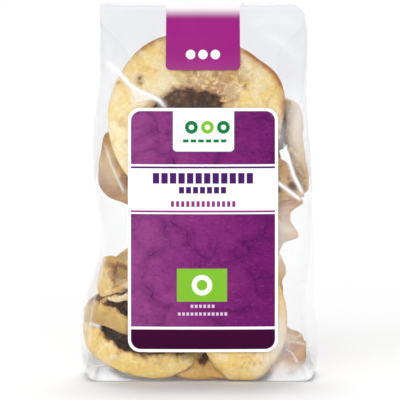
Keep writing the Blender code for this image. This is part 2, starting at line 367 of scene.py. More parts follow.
def flesh_material():
    """Dried apple: mottled cream and gold flesh, tanned rim, brown fibrous core; on some rings the toast and
    the core are painted shade.
    """
    g = Graph("apple_flesh")
    place = g.place()
    rim, core, fringe = g.attribute("rim"), g.attribute("core"), g.attribute("fringe")
    tone, toast = g.attribute("tone"), g.attribute("toast")
    broad = g.noise(place, 0.016, 3.0)
    middle = g.noise(place, 0.006, 4.0, 0.62, 0.5)
    fine = g.noise(place, 0.0015, 4.0, 0.68)
    # Mottled flesh, browner where it is toasted, and where shade is painted on some rings
    colour = g.mix(g.ramp(g.math("ADD", broad, tone), 0.36, 0.66), CREAM, GOLD)
    colour = g.mix(g.ramp(middle, 0.50, 0.70, 0.0, 0.75), colour, PALE)
    colour = g.mix(g.ramp(middle, 0.49, 0.30, 0.0, 0.6), colour, AMBER)
    toasted = g.math("MULTIPLY", toast, g.ramp(middle, 0.25, 0.7, 0.75, 1.15), clamp=True)
    colour = g.mix(toasted, colour, g.mix(g.ramp(tone, 0.2, 0.3), TOAST, TAN))
    # The tanned rim, in patches
    patches = g.noise(place, 0.010, 3.0)
    colour = g.mix(g.product(rim, g.ramp(patches, 0.40, 0.52, 0.45, 1.0)), colour, RIM_ORANGE)
    # Brown veins and stains round the core
    wavy = g.noise(place, 0.004, 4.0, 0.65, 1.2)
    line = g.ramp(g.distance(wavy, 0.5), 0.03, 0.0)
    stained = g.math("ADD", g.math("MULTIPLY", line, 0.75), g.ramp(wavy, 0.60, 0.36, 0.12, 0.9), clamp=True)
    colour = g.mix(g.product(fringe, stained), colour, STAIN_BROWN)
    # The core, darker towards the hole; where a ring's core is very large, and at some marks, it is painted
    # shade
    core_share = g.math("MULTIPLY", core, g.ramp(middle, 0.3, 0.6, 0.7, 1.2), clamp=True)
    colour = g.mix(core_share, colour, CORE_BROWN)
    colour = g.mix(g.product(g.ramp(core, 0.45, 1.0), g.ramp(fine, 0.32, 0.52, 0.7, 1.0)), colour, CORE_DARK)
    # Specks in some places, and a fine grain all over
    spots = g.add("ShaderNodeTexVoronoi", (("Vector", place), ("Scale", 95.0), ("Randomness", 1.0)))
    chosen = g.ramp(g.noise(place, 0.008, 1.0), 0.54, 0.62)
    speck = g.product(g.ramp(spots.outputs["Distance"], 0.22, 0.08), chosen)
    colour = g.mix(g.product(speck, 0.8), colour, SPECK)
    colour = g.mix(g.ramp(fine, 0.42, 0.66, 0.2, 0.0), colour, FINE_TAN)
    # Wrinkles, weaker in the core
    wrinkles = g.noise(place, 0.0035, 5.0, 0.7, 1.4)
    heights = g.math("ADD", g.product(middle, 1.6), g.product(fine, 0.6))
    heights = g.math("ADD", heights, g.product(wrinkles, 0.9))
    strength = g.ramp(core, 0.3, 1.0, 0.8, 0.3)
    return g.surface(
        colour, 0.62, 0.3, ("Normal", g.bump(heights, strength, 0.0008)), ("Subsurface Weight", 0.15),
        ("Subsurface Radius", (1.0, 0.5, 0.2)), ("Subsurface Scale", 0.002),
    )


# What clear film lets through: low down, at the top and in the gussets
TINT_LOW = (0.968, 0.970, 0.975)
TINT_TOP = (0.922, 0.925, 0.941)
TINT_GUSSET = (0.990, 0.990, 0.992)
# Heights in metres between which the tint changes, and how much lower that is for each metre to the right
TINT_RISE = (0.10, 0.155)
TINT_TILT = 0.25
VEIL_WHITE = (0.95, 0.955, 0.965)
MIRROR_HEAD_ON = 0.008
MIRROR_EDGE = 0.9
MIRROR_EDGE_TOP = 0.4
MIRROR_POWER = 3.6
# The welded seam down the back and the folds of the base: places in metres, then whiteness
SEAM_HALF = 0.005
SEAM_TOP = 0.142
WELD_LINE = 0.0006
BASE_FOLD_START = 0.021
BASE_OVERLAP = 0.006
SEAM_WHITE = 0.10
SEAM_LINE_WHITE = 0.4
FOLD_WHITE = 0.5


def weld_at(g, value, target):
    """1 where a value in metres is at a target, fading to 0 over the width of a weld line."""
    return g.ramp(g.distance(value, target), WELD_LINE, 0.0)


def weld_lines(g, split):
    """Whiteness of the welded seam down the back and of the folds in the base."""
    height = split.outputs["Z"]
    across = g.math("ABSOLUTE", split.outputs["X"])
    deep = g.math("ABSOLUTE", split.outputs["Y"])
    band = g.ramp(across, SEAM_HALF + WELD_LINE, SEAM_HALF, 0.0, SEAM_WHITE)
    seam = g.math("MAXIMUM", g.product(weld_at(g, across, SEAM_HALF), SEAM_LINE_WHITE), band)
    behind = g.ramp(split.outputs["Y"], 0.0, 0.001)
    above_base = g.ramp(height, 0.0005, 0.002)
    below_flap = g.ramp(height, SEAM_TOP, SEAM_TOP - 0.001)
    on_base = g.ramp(height, 0.0006, 0.0002)
    diagonal = weld_at(g, g.math("SUBTRACT", across, deep), BASE_FOLD_START)
    # The straight folds end where they meet the diagonal ones
    end = BASE_FOLD_START + BASE_OVERLAP
    straight = g.product(weld_at(g, deep, BASE_OVERLAP), g.ramp(across, end + 0.0005, end - 0.0005))
    folds = g.product(g.math("MAXIMUM", diagonal, straight), on_base, FOLD_WHITE)
    return g.math("ADD", g.product(seam, behind, above_base, below_flap), folds)


def film_material():
    """Clear film: lets nearly all light through, hazy away from the fruit, with painted highlights along its
    creases.
    """
    g = Graph("clear_film")
    place = g.place()
    split = g.add("ShaderNodeSeparateXYZ", (("Vector", place),))
    height = split.outputs["Z"]
    cloudy = g.noise(place, 0.02, 4.0, 0.6)
    fine = g.noise(place, 0.004, 4.0, 0.6)
    haze = g.product(g.attribute("haze"), g.ramp(cloudy, 0.3, 0.7, 0.7, 1.15))
    # The crease attribute holds painted highlights and painted sheen along the creases, and the even haze of
    # the base
    veil = g.math("ADD", g.math("ADD", haze, g.attribute("crease")), weld_lines(g, split), clamp=True)
    bump = g.bump(g.math("ADD", cloudy, g.product(fine, 0.25)), 0.5, 0.0012)
    tilted = g.math("MULTIPLY_ADD", split.outputs["X"], TINT_TILT, height)
    tint = g.mix(g.ramp(tilted, *TINT_RISE), TINT_LOW, TINT_TOP)
    tint = g.mix(g.attribute("gusset"), tint, TINT_GUSSET)
    clear = g.add("ShaderNodeBsdfTransparent", (("Color", tint),)).outputs[0]
    cloud = g.add("ShaderNodeBsdfDiffuse", (("Color", VEIL_WHITE), ("Roughness", 0.5))).outputs[0]
    body = g.add("ShaderNodeMixShader", ((0, veil), (1, clear), (2, cloud))).outputs[0]
    gloss = g.add("ShaderNodeBsdfGlossy", (("Color", (1.0, 1.0, 1.0)), ("Roughness", 0.09), ("Normal", bump)))
    facing = g.add("ShaderNodeLayerWeight", (("Blend", 0.5), ("Normal", bump))).outputs["Facing"]
    strength = g.ramp(height, 0.09, 0.13, MIRROR_EDGE, MIRROR_EDGE_TOP)
    mirror = g.math("ADD", g.product(g.math("POWER", facing, MIRROR_POWER), strength), MIRROR_HEAD_ON)
    return g.finish(g.add("ShaderNodeMixShader", ((0, mirror), (1, body), (2, gloss.outputs[0]))).outputs[0])


# Prints

# Half the width of a printed edge in millimetres
PRINT_SOFT = 0.15
DASH_SOFT = 0.1


class Print:
    """A sticker's print: fields of colour over each other, placed in millimetres across and up."""

    def __init__(self, g, colour):
        self.g = g
        self.u, self.v = g.attribute("across"), g.attribute("up")
        self.colour = colour

    def paint(self, mask, colour):
        self.colour = self.g.mix(mask, self.colour, colour)

    def beyond(self, value, low, high, corner=0.0):
        """How far a value is outside two others drawn in by a corner's radius, negative between them."""
        return self.g.math("SUBTRACT", self.g.distance(value, (low + high) / 2), (high - low) / 2 - corner)

    def within(self, distance, reach, soft=PRINT_SOFT):
        """1 where a distance is less than a reach, 0 where it is more."""
        return self.g.ramp(distance, reach + soft, reach - soft)

    def length(self, across, up):
        return self.g.math("SQRT", self.g.math("ADD", self.g.product(across, across), self.g.product(up, up)))

    def box(self, left, right, low, high):
        """1 inside a box, 0 outside, as all masks are."""
        over_u, over_v = self.beyond(self.u, left, right), self.beyond(self.v, low, high)
        return self.within(self.g.math("MAXIMUM", over_u, over_v), 0.0)

    def rounded(self, left, right, low, high, corner):
        """A box with rounded corners."""
        over_u = self.g.math("MAXIMUM", self.beyond(self.u, left, right, corner), 0.0)
        over_v = self.g.math("MAXIMUM", self.beyond(self.v, low, high, corner), 0.0)
        return self.within(self.length(over_u, over_v), corner)

    def disc(self, x, y, radius):
        across, up = self.g.math("SUBTRACT", self.u, x), self.g.math("SUBTRACT", self.v, y)
        return self.within(self.length(across, up), radius)

    def dashes(self, box, pitch, space):
        """A row of short blocks that fills a box."""
        along = self.g.math("FLOORED_MODULO", self.g.math("SUBTRACT", self.u, box[0]), pitch)
        block = self.within(self.g.distance(along, pitch / 2), (pitch - space) / 2, DASH_SOFT)
        return self.g.product(block, self.box(*box))


LABEL_WHITE = shade(252, 253, 251)
PURPLE_LEFT = shade(141, 63, 126)
PURPLE_MIDDLE = shade(125, 38, 113)
PURPLE_RIGHT = shade(110, 23, 102)
PURPLE_DEEP = shade(66, 8, 68)
PURPLE_LIGHT = shade(160, 88, 146)
RULE_VIOLET = shade(70, 24, 100)
RULE_MAGENTA = shade(142, 50, 128)
TAB_OUTLINE = shade(80, 66, 110)
PALE_LILAC = shade(214, 190, 214)
BAND_DARK = shade(58, 0, 48)
GREEN = shade(124, 184, 46)
GREEN_DARK = shade(0, 120, 62)
GREEN_PALE = shade(246, 252, 236)
LABEL_BORDER = 1.35
LABEL_HEIGHT = LABEL_TOP - LABEL_BOTTOM
FIELD_HALF = LABEL_WIDTH / 2 - LABEL_BORDER
FIELD_CORNER = LABEL_CORNER - 1.0
# A little wider than the purple fields, to cover their soft edges
COVER_HALF = FIELD_HALF + 0.5

# Boxes as left, right, low, high, with their colours. First the white panel with a rule at each end
PANEL = (
    ((-COVER_HALF, COVER_HALF, 62.2, 84.4), LABEL_WHITE),
    ((-FIELD_HALF, FIELD_HALF, 82.6, 83.5), RULE_VIOLET),
    ((-FIELD_HALF, FIELD_HALF, 62.9, 63.8), RULE_MAGENTA),
)
DARK_BAND = (-COVER_HALF, COVER_HALF, -2.0, 11.0)
BAND_RULE = (-COVER_HALF, COVER_HALF, 10.3, 11.5)
TOP_BORDER = (-COVER_HALF, COVER_HALF, LABEL_HEIGHT - LABEL_BORDER, LABEL_HEIGHT + 1)
# The white tab that hangs from the top border, with a thin outline and three round marks
TAB = (-13.5, 13.95, 90.2, LABEL_HEIGHT + 6.0)
TAB_CORNER = 1.8
TAB_OUTER_CORNER = 2.2
TAB_LINE = 0.45
TAB_MARKS = ((-5.2, GREEN_DARK), (2.0, GREEN), (9.2, GREEN_DARK))
TAB_MARK_HEIGHT = 101.0
TAB_MARK_RADIUS = 2.9
# The green plate with a round mark: middle of the mark, then radius and colour of its two discs
PLATE = (-11.7, 10.8, 22.9, 37.7)
PLATE_MARK = (-0.45, 30.3)
PLATE_DISCS = ((4.6, GREEN_PALE), (2.4, GREEN))
# Rows of plain blocks: box, pitch, space between two blocks, colour
BLOCK_ROWS = (
    ((-9.4, 11.0, 94.2, 95.6), 3.4, 0.9, GREEN_DARK),
    ((-23.0, 22.9, 75.8, 80.6), 3.83, 0.9, RULE_VIOLET),
    ((-11.2, 10.8, 71.4, 74.4), 3.14, 0.8, RULE_VIOLET),
    ((-14.8, 15.0, 65.4, 68.0), 2.29, 0.8, RULE_MAGENTA),
    ((-5.9, 5.5, 20.1, 21.5), 1.9, 0.7, PALE_LILAC),
    ((-11.6, 11.2, 16.6, 18.0), 1.9, 0.7, PALE_LILAC),
)
# The soft crackle in two sizes: scale, width of the line, width of the shade round it, darkness
CRACKLE = ((48.0, 0.012, 0.16, 0.5), (210.0, 0.03, 0.22, 0.16))
CRACKLE_WANDER = 0.012


def mottled_purple(g, place, across):
    """The label's purple, lighter at the left, with a soft crackle and a grain."""
    fold = g.noise(place, 0.014, 5.0, 0.62, 0.6)
    grain = g.noise(g.place((1.0, 1.0, 2.2)), 0.0024, 5.0, 0.68, 0.5)
    uneven = g.product(g.math("SUBTRACT", fold, 0.5), 1.5)
    drift = g.math("ADD", g.math("DIVIDE", across, FIELD_HALF), uneven)
    purple = g.mix(g.ramp(drift, -0.9, 0.0), PURPLE_LEFT, PURPLE_MIDDLE)
    purple = g.mix(g.ramp(drift, 0.0, 0.9), purple, PURPLE_RIGHT)
    inputs = (("Vector", place), ("Scale", 90.0), ("Detail", 3.0))
    wander = g.add("ShaderNodeTexNoise", inputs).outputs["Color"]
    inputs = ((0, wander), (1, (CRACKLE_WANDER,) * 3), (2, place))
    shifted = g.add("ShaderNodeVectorMath", inputs, operation="MULTIPLY_ADD").outputs[0]
    for scale, line, wide, dark in CRACKLE:
        inputs = (("Vector", shifted), ("Scale", scale))
        away = g.add("ShaderNodeTexVoronoi", inputs, feature="DISTANCE_TO_EDGE").outputs["Distance"]
        shadow = g.math("ADD", g.ramp(away, line, 0.0, 0.0, dark), g.ramp(away, wide, 0.0, 0.0, dark * 0.7))
        purple = g.mix(g.product(shadow, g.ramp(fold, 0.36, 0.6, 0.25, 1.0)), purple, PURPLE_DEEP)
    purple = g.mix(g.ramp(grain, 0.50, 0.28, 0.0, 0.4), purple, PURPLE_DEEP)
    return g.mix(g.ramp(grain, 0.54, 0.76, 0.0, 0.3), purple, PURPLE_LIGHT)


def label_material():
    """Printed label: white border, two mottled purple fields, white panel, green plate, dark band."""
    g = Graph("label_print")
    place = g.place()
    ink = Print(g, LABEL_WHITE)
    field = ink.rounded(-FIELD_HALF, FIELD_HALF, LABEL_BORDER, LABEL_HEIGHT - LABEL_BORDER, FIELD_CORNER)
    ink.paint(field, mottled_purple(g, place, ink.u))
    for box, colour in PANEL:
        ink.paint(ink.box(*box), colour)
    ink.paint(g.product(field, ink.box(*DARK_BAND)), BAND_DARK)
    ink.paint(ink.box(*BAND_RULE), LABEL_WHITE)
    left, right, low, high = TAB
    outer = (left - TAB_LINE, right + TAB_LINE, low - TAB_LINE, high, TAB_OUTER_CORNER)
    ink.paint(ink.rounded(*outer), TAB_OUTLINE)
    ink.paint(ink.rounded(*TAB, TAB_CORNER), LABEL_WHITE)
    ink.paint(ink.box(*TOP_BORDER), LABEL_WHITE)
    for x, colour in TAB_MARKS:
        ink.paint(ink.disc(x, TAB_MARK_HEIGHT, TAB_MARK_RADIUS), colour)
        ink.paint(ink.disc(x, TAB_MARK_HEIGHT, TAB_MARK_RADIUS * 0.4), LABEL_WHITE)
    ink.paint(ink.box(*PLATE), GREEN)
    for radius, colour in PLATE_DISCS:
        ink.paint(ink.disc(*PLATE_MARK, radius), colour)
    for box, pitch, space, colour in BLOCK_ROWS:
        ink.paint(ink.dashes(box, pitch, space), colour)
    return g.surface(ink.colour, 0.45, 0.05, ("Normal", g.bump(g.noise(place, 0.03, 2.0), 0.25, 0.001)))


STRIP_PURPLE = shade(146, 17, 119)
STRIP_LIGHT = shade(164, 40, 138)
# The round marks near the strip's front end: places across, height and radius
STRIP_MARKS = (-5.6, 0.0, 5.6)
STRIP_MARK_HEIGHT = 6.8
STRIP_MARK_RADIUS = 2.1


def strip_material():
    """Printed closing strip, with a painted highlight, white, where it bends over the top."""
    g = Graph("strip_print")
    place = g.place()
    ink = Print(g, g.mix(g.ramp(g.noise(place, 0.01, 4.0), 0.3, 0.7, 0.0, 0.25), STRIP_PURPLE, STRIP_LIGHT))
    for x in STRIP_MARKS:
        ink.paint(ink.disc(x, STRIP_MARK_HEIGHT, STRIP_MARK_RADIUS), LABEL_WHITE)
    # Painted highlight, white, where the strip bends over the top
    ink.paint(g.product(g.attribute("bend_highlight"), 0.8), LABEL_WHITE)
    return g.surface(ink.colour, 0.3, 0.3, ("Normal", g.bump(g.noise(place, 0.02, 3.0), 0.3, 0.001)))


# Film

FRONT_COLUMNS = 144
BACK_COLUMNS = 52
CORNER_COLUMNS = 24
SIDE_COLUMNS = 26
# The front's columns are closer together beside the label: even places, and the places that they move to
EVEN_PLACES = (-1, -0.46, 0.46, 1)
FRONT_PLACES = (-1, -0.66, 0.66, 1)
FILM_ROWS = 262
FILLET_ROWS = 3
ROLL_ROWS = 7
ROLL_TURN = 84.0
EVEN_ROUNDS = 8
BASE_LOOPS = 12


def crease(path, ridge, width, white, veil=0.0, wall="front"):
    """A crease along a path of (across, height) points on a wall.

    ridge is its height, width its half width and white the whiteness of its painted highlight. veil is how
    far a painted sheen, white, reaches down from it.
    """
    return dict(wall=wall, path=path, ridge=ridge, width=width, white=white, veil=veil)


# Placed creases, each with a painted highlight along it and some with a painted sheen below; those with no
# ridge are only painted sheen
CREASES = (
    crease((
        (-45.0, 147.0), (-35.7, 138.8), (-31.2, 133.8), (-26.7, 131.0), (-22.0, 129.2), (-17.6, 126.8),
        (-14.5, 123.0), (-13.0, 120.5),
    ), 0.8, 0.95, 1.0, veil=5.5),
    crease((
        (-31.5, 124.4), (-28.5, 126.6), (-24.5, 127.8), (-20.0, 127.6), (-16.0, 126.4),
    ), 0.3, 0.55, 0.7),
    crease(((22.0, 161.0), (34.0, 164.0), (46.0, 161.0)), 0.1, 2.2, 0.16),
    crease(((27.0, 158.0), (37.0, 154.0), (47.0, 145.0)), 0.1, 2.2, 0.16),
    crease(((-43.2, 109.5), (-39.5, 98.0), (-32.5, 83.0)), 0.5, 0.8, 0.4, veil=1.5),
    crease(((37.5, 110.0), (39.6, 103.5), (42.6, 93.4), (46.4, 86.0), (48.4, 82.4)), 0.35, 0.8, 1.0),
    crease(((33.0, 92.5), (36.5, 89.4), (40.6, 86.3), (45.0, 83.0), (47.6, 81.4)), 0.35, 0.75, 0.95),
    crease(((-52.5, 25.4), (-48.0, 26.0), (-43.5, 25.0)), 0.3, 0.7, 0.7),
    crease(((-41.0, 12.5), (-36.0, 11.5)), 0.4, 1.0, 0.3),
    crease(((37.0, 16.0), (42.0, 13.5), (45.0, 8.0)), 0.5, 0.6, 0.4),
    crease(((37.5, 19.0), (43.0, 18.5), (49.5, 16.5)), 0.5, 0.6, 0.35),
    crease(((38.0, 23.5), (43.0, 20.5), (48.0, 21.5)), 0.4, 0.6, 0.3),
    crease(((36.0, 44.0), (36.0, 18.0), (29.0, -4.0)), 0.0, 5.5, 0.5),
    crease(((-45.0, 108.0), (-43.0, 95.0), (-37.0, 82.0)), 0.0, 5.0, 0.14),
    crease(((42.0, 140.0), (45.0, 120.0), (44.5, 94.0)), 0.0, 4.5, 0.4),
    crease(((38.0, 124.0), (37.0, 110.0), (37.0, 98.0)), 0.0, 2.6, 0.26),
    crease(((41.0, 90.0), (38.0, 72.0), (36.0, 50.0)), 0.0, 6.5, 0.18),
)
RANDOM_CREASES = 26
CREASE_SEED = 11
# Parts of the front that hang slack and look milky: middle (across, height), reach, haze
SLACK = (
    ((47.0, 112.0), (8.0, 22.0), 0.12),
    ((44.0, 64.0), (12.0, 20.0), 0.18),
    ((44.0, 20.0), (10.0, 10.0), 0.10),
    ((33.0, 20.0), (6.0, 9.0), 0.16),
    ((-42.0, 92.0), (10.0, 18.0), 0.08),
)
LEAST_HAZE = 0.006
FAR_HAZE = 0.010
BASE_HAZE = 0.3
# Distances from the fruit over which film becomes hazy, and over which it counts as slack
FAR_FROM_FRUIT = (1.5, 8.0)
SLACK_FROM_FRUIT = (1.2, 3.6)
# The milky foot of the walls: its haze and height, the place where it is clear, and the distances from
# there over which it comes back
FOOT_HAZE = 0.9
FOOT_HEIGHT = 13.0
FOOT_CLEAR_AT = 6.0
FOOT_CLEAR_WITHIN = (18.0, 32.0)
# Shares of a crease's length over which its painted sheen opens, closes again and fades in
VEIL_OPENS = (0.42, 0.6)
VEIL_CLOSES = (0.6, 0.76)
VEIL_FADES_IN = (0.2, 0.45)


def along_path(path, across, height):
    """(share of the way along a path of points, signed distance from it) for points of a wall."""
    path = np.array(path, float)
    steps = np.diff(path, axis=0)
    lengths = np.linalg.norm(steps, axis=1)
    nearest = np.full(across.shape, np.inf)
    share, side = np.zeros(across.shape), np.ones(across.shape)
    done = 0.0
    for start, step, length in zip(path, steps, lengths):
        right, up = across - start[0], height - start[1]
        t = np.clip((right * step[0] + up * step[1]) / length**2, 0, 1)
        distance = np.hypot(right - t * step[0], up - t * step[1])
        closer = distance < nearest
        nearest = np.where(closer, distance, nearest)
        share = np.where(closer, (done + t * length) / lengths.sum(), share)
        side = np.where(closer, np.sign(right * step[1] - up * step[0]), side)
        done += length
    return share, nearest * side


def crease_shape(line, across, height):
    """(ridge from 0 to 1, whiteness of the painted highlight and sheen) of one crease at points of its wall.
    """
    along, off = along_path(line["path"], across, height)
    # A soft painted sheen without a ridge fades over half its length at both ends
    start, end = (0.25, 0.8) if line["ridge"] else (0.5, 0.5)
    taper = smooth_step(0.0, start, along) * (1 - smooth_step(end, 1.0, along))
    ridge = np.exp(-np.abs(off / line["width"]) ** 1.5) * taper
    white = ridge
    if line["veil"] > 0:
        closing = 1 - 0.85 * smooth_step(*VEIL_CLOSES, along)
        reach = line["veil"] * (0.05 + 0.95 * smooth_step(*VEIL_OPENS, along)) * closing
        fade = 0.62 * smooth_step(*VEIL_FADES_IN, along)
        white = np.maximum(ridge, np.where(off > 0, np.exp(-((off / reach) ** 2.5)), 0.0) * taper * fade)
    return ridge, white * line["white"]


def random_creases(count, rng):
    """Small creases on every wall, shallower than the placed ones and with fainter painted highlights."""
    made = []
    reach = {"front": 46.0, "back": 46.0, "left": 26.0, "right": 26.0}
    for wall, half in reach.items():
        for _ in range(count):
            x, z = rng.uniform(-half, half), rng.uniform(4.0, 150.0)
            angle = math.radians(rng.gauss(90.0, 38.0))
            path = [(x, z)]
            for _ in range(3):
                step = rng.uniform(3.0, 10.0)
                x, z = x + step * math.cos(angle), z + step * math.sin(angle)
                path.append((x, z))
                angle += math.radians(rng.uniform(-22.0, 22.0))
            ridge, width, white = rng.uniform(-0.3, 0.2), rng.uniform(0.8, 1.8), rng.uniform(0.0, 0.08)
            made.append(crease(path, ridge, width, white, wall=wall))
    return made


def slack_haze(walls, across, height):
    """Milkiness of the slack parts of the front."""
    haze = np.zeros(height.shape)
    for middle, reach, amount in SLACK:
        far = ((across - middle[0]) / reach[0]) ** 2 + ((height - middle[1]) / reach[1]) ** 2
        haze = np.maximum(haze, np.where(np.array(walls) == "front", amount * np.exp(-(far**1.5)), 0.0))
    return haze


def film_row(height, wall_height, inset=0.0, squeeze=1.0):
    """(wall of each point, points) round the film at a height, with the form it has at wall_height.

    inset draws the row in all round. squeeze brings the front and back closer to the middle plane.
    """
    middle, half = outline(height)
    bulge, fold = value_at(SIDE_BULGE, wall_height), gusset_depth(wall_height)
    box_half = half - bulge - inset

    def front(x):
        return (front_depth(x, wall_height) - inset) * squeeze

    def back(x):
        return (back_depth(x, wall_height) - inset) * squeeze

    sides = [middle - box_half, middle + box_half]
    least = min(min(front(x), back(x)) for x in sides)
    radius = min(value_at(EDGE_RADIUS, wall_height), EDGE_SHARE * least)
    reach = box_half - radius
    quarter = np.radians(np.arange(1, CORNER_COLUMNS) * 90.0 / CORNER_COLUMNS)
    even = np.linspace(-1, 1, FRONT_COLUMNS + 1)
    front_xs = middle + reach * np.interp(even, EVEN_PLACES, FRONT_PLACES)
    back_xs = middle + reach * np.linspace(1, -1, BACK_COLUMNS + 1)
    parts = []

    def add(wall, x, y):
        parts.append((wall, np.column_stack((x, y))))

    def corner(sign, depth, sign_y, angles):
        x = middle + sign * (reach + radius * np.sin(angles))
        y = sign_y * (depth - radius + radius * np.cos(angles))
        add("front" if sign_y < 0 else "back", x, y)

    def side(sign, start, end):
        t = np.linspace(-1, 1, SIDE_COLUMNS + 1)
        x = middle + sign * (box_half + bulge * (1 - t * t) - fold * (1 - np.abs(t)))
        add("right" if sign > 0 else "left", x, start + (end - start) * (t + 1) / 2)

    right, left = middle + reach, middle - reach
    add("front", front_xs, -front(front_xs))
    corner(1, front(right), -1, quarter)
    side(1, radius - front(right), back(right) - radius)
    corner(1, back(right), 1, quarter[::-1])
    add("back", back_xs, back(back_xs))
    corner(-1, back(left), 1, quarter)
    side(-1, back(left) - radius, radius - front(left))
    corner(-1, front(left), -1, quarter[::-1])
    walls = [wall for wall, points in parts for _ in points]
    points = np.vstack([points for _, points in parts])
    return walls, np.column_stack((points, np.full(len(points), float(height))))


def film_grid():
    """The film's rows from the base to the top, as walls and an array of rows by columns of points."""
    rows = []
    for k in range(FILLET_ROWS + 1):
        angle = math.radians(90 * k / FILLET_ROWS)
        height = BASE_FILLET * (1 - math.cos(angle))
        rows.append(film_row(height, height, inset=BASE_FILLET * (1 - math.sin(angle))))
    for height in np.linspace(BASE_FILLET, ROLL_START, FILM_ROWS + 1)[1:]:
        rows.append(film_row(height, height))
    for k in range(1, ROLL_ROWS + 1):
        angle = math.radians(ROLL_TURN * k / ROLL_ROWS)
        rows.append(film_row(ROLL_START + ROLL_RADIUS * math.sin(angle), ROLL_START, squeeze=math.cos(angle)))
    return rows[0][0], evened(np.array([points for _, points in rows]))


def evened(grid):
    """The rows of a closed grid smoothed a little, which rounds the kinks beside the upright edges."""
    for _ in range(EVEN_ROUNDS):
        grid = grid / 2 + (np.roll(grid, 1, axis=1) + np.roll(grid, -1, axis=1)) / 4
    return grid


def grid_normals(grid):
    """Outward normals of a closed grid of rows by columns."""
    along = np.roll(grid, -1, axis=1) - np.roll(grid, 1, axis=1)
    up = np.gradient(grid, axis=0)
    return unit(np.cross(along, up))


def wall_coordinates(walls, grid):
    """The place of each point across its wall: x on the front and back, y on the sides."""
    on_side = np.array([wall in ("left", "right") for wall in walls])
    return np.where(on_side, grid[..., 1], grid[..., 0])


def film_relief(walls, grid):
    """(displacement, whiteness of the painted highlights, slack haze) of the film's creases and waves."""
    rng = random.Random(CREASE_SEED)
    across, height = wall_coordinates(walls, grid), grid[..., 2]
    names = np.array(walls)
    free = np.where(names == "front", front_free(grid[..., 0], height), 1.0)
    free = np.where(names == "back", back_free(grid[..., 0], height), free)
    ends = smooth_step(0.5, 6.0, height) * (1 - smooth_step(158.0, 167.0, height))
    # Broad waves, small ones, and upright pleats towards the top
    move = perlin(grid * (1.0, 1.0, 0.6), 22.0, 1) * 0.55 + perlin(grid, 8.0, 2) * 0.12
    move = move + perlin(grid * (1.0, 1.0, 0.12), 6.0, 3) * 0.5 * smooth_step(128.0, 158.0, height)
    white = np.zeros(height.shape)
    for line in (*CREASES, *random_creases(RANDOM_CREASES, rng)):
        mask = names == line["wall"]
        ridge, pale = crease_shape(line, across[:, mask], height[:, mask])
        move[:, mask] += line["ridge"] * ridge
        white[:, mask] = np.maximum(white[:, mask], pale)
    return np.clip(move, -0.5, 1.2) * free * ends, white, slack_haze(walls, across, height)


def close_film(grid, points, faces):
    """Adds the base, as loops that shrink to a face in its middle, and the face at the top."""
    rows, columns = grid.shape[:2]
    centre = grid[0].mean(axis=0)
    loops = [list(range(columns))]
    for k in range(1, BASE_LOOPS):
        loops.append(list(range(len(points), len(points) + columns)))
        points.extend(centre + (grid[0] - centre) * (1 - k / BASE_LOOPS))
    for outer, inner in zip(loops, loops[1:]):
        for c in range(columns):
            n = (c + 1) % columns
            faces.append((outer[n], outer[c], inner[c], inner[n]))
    faces.append(tuple(reversed(loops[-1])))
    faces.append(tuple(range((rows - 1) * columns, rows * columns)))


def add_film(material, fruit):
    """The bag's film: one thin skin with creases and their painted highlights, clear where the fruit touches
    it.
    """
    walls, grid = film_grid()
    move, white, slack = film_relief(walls, grid)
    grid = grid + grid_normals(grid) * move[..., None]
    rows, columns = grid.shape[:2]
    points = list(grid.reshape(-1, 3))
    faces = strip_faces(rows, columns, closed=True)
    close_film(grid, points, faces)
    points = np.array(points)
    on_walls = slice(0, rows * columns)
    from_fruit = np.array([fruit.find_nearest(Vector(p))[3] for p in points.tolist()])
    haze = LEAST_HAZE + FAR_HAZE * smooth_step(*FAR_FROM_FRUIT, from_fruit)
    loose = smooth_step(*SLACK_FROM_FRUIT, from_fruit[on_walls])
    beside = smooth_step(*FOOT_CLEAR_WITHIN, np.abs(points[on_walls, 0] - FOOT_CLEAR_AT))
    foot = FOOT_HAZE * beside * (1 - smooth_step(0.0, FOOT_HEIGHT, points[on_walls, 2]))
    haze[on_walls] += (slack.reshape(-1) + foot) * loose
    # The first row belongs to the base, which has an even haze; the walls carry the painted highlights of
    # their creases
    whiteness = np.full(len(points), BASE_HAZE)
    whiteness[columns : rows * columns] = white[1:].reshape(-1)
    gusset = np.zeros(len(points))
    gusset[on_walls] = np.tile(np.isin(walls, ("left", "right")), rows)
    attributes = (("haze", haze), ("crease", whiteness), ("gusset", gusset))
    return add_mesh("film", points, faces, material, attributes)


# Stickers

ROUND_STEPS = 12
SHARP_ANGLE = 50
# Step along a sticker in millimetres and number of columns across it
LABEL_STEPS = (1.6, 56)
STRIP_STEPS = (0.8, 28)


def rounded_share(from_end, half_width, corner):
    """The share of its half width that a sticker keeps at a distance from its rounded end."""
    inside_corner = np.clip(corner - from_end, 0.0, corner)
    return 1.0 - (corner - np.sqrt(corner**2 - inside_corner**2)) / half_width


def stations(length, corner, step):
    """Distances along a sticker, closer together in its rounded corners."""
    angles = np.radians(np.arange(ROUND_STEPS) * 90.0 / ROUND_STEPS)
    rounded = corner * (1 - np.cos(angles))
    straight = np.linspace(corner, length - corner, round((length - 2 * corner) / step) + 1)
    return np.concatenate((rounded, straight, (length - rounded)[::-1]))


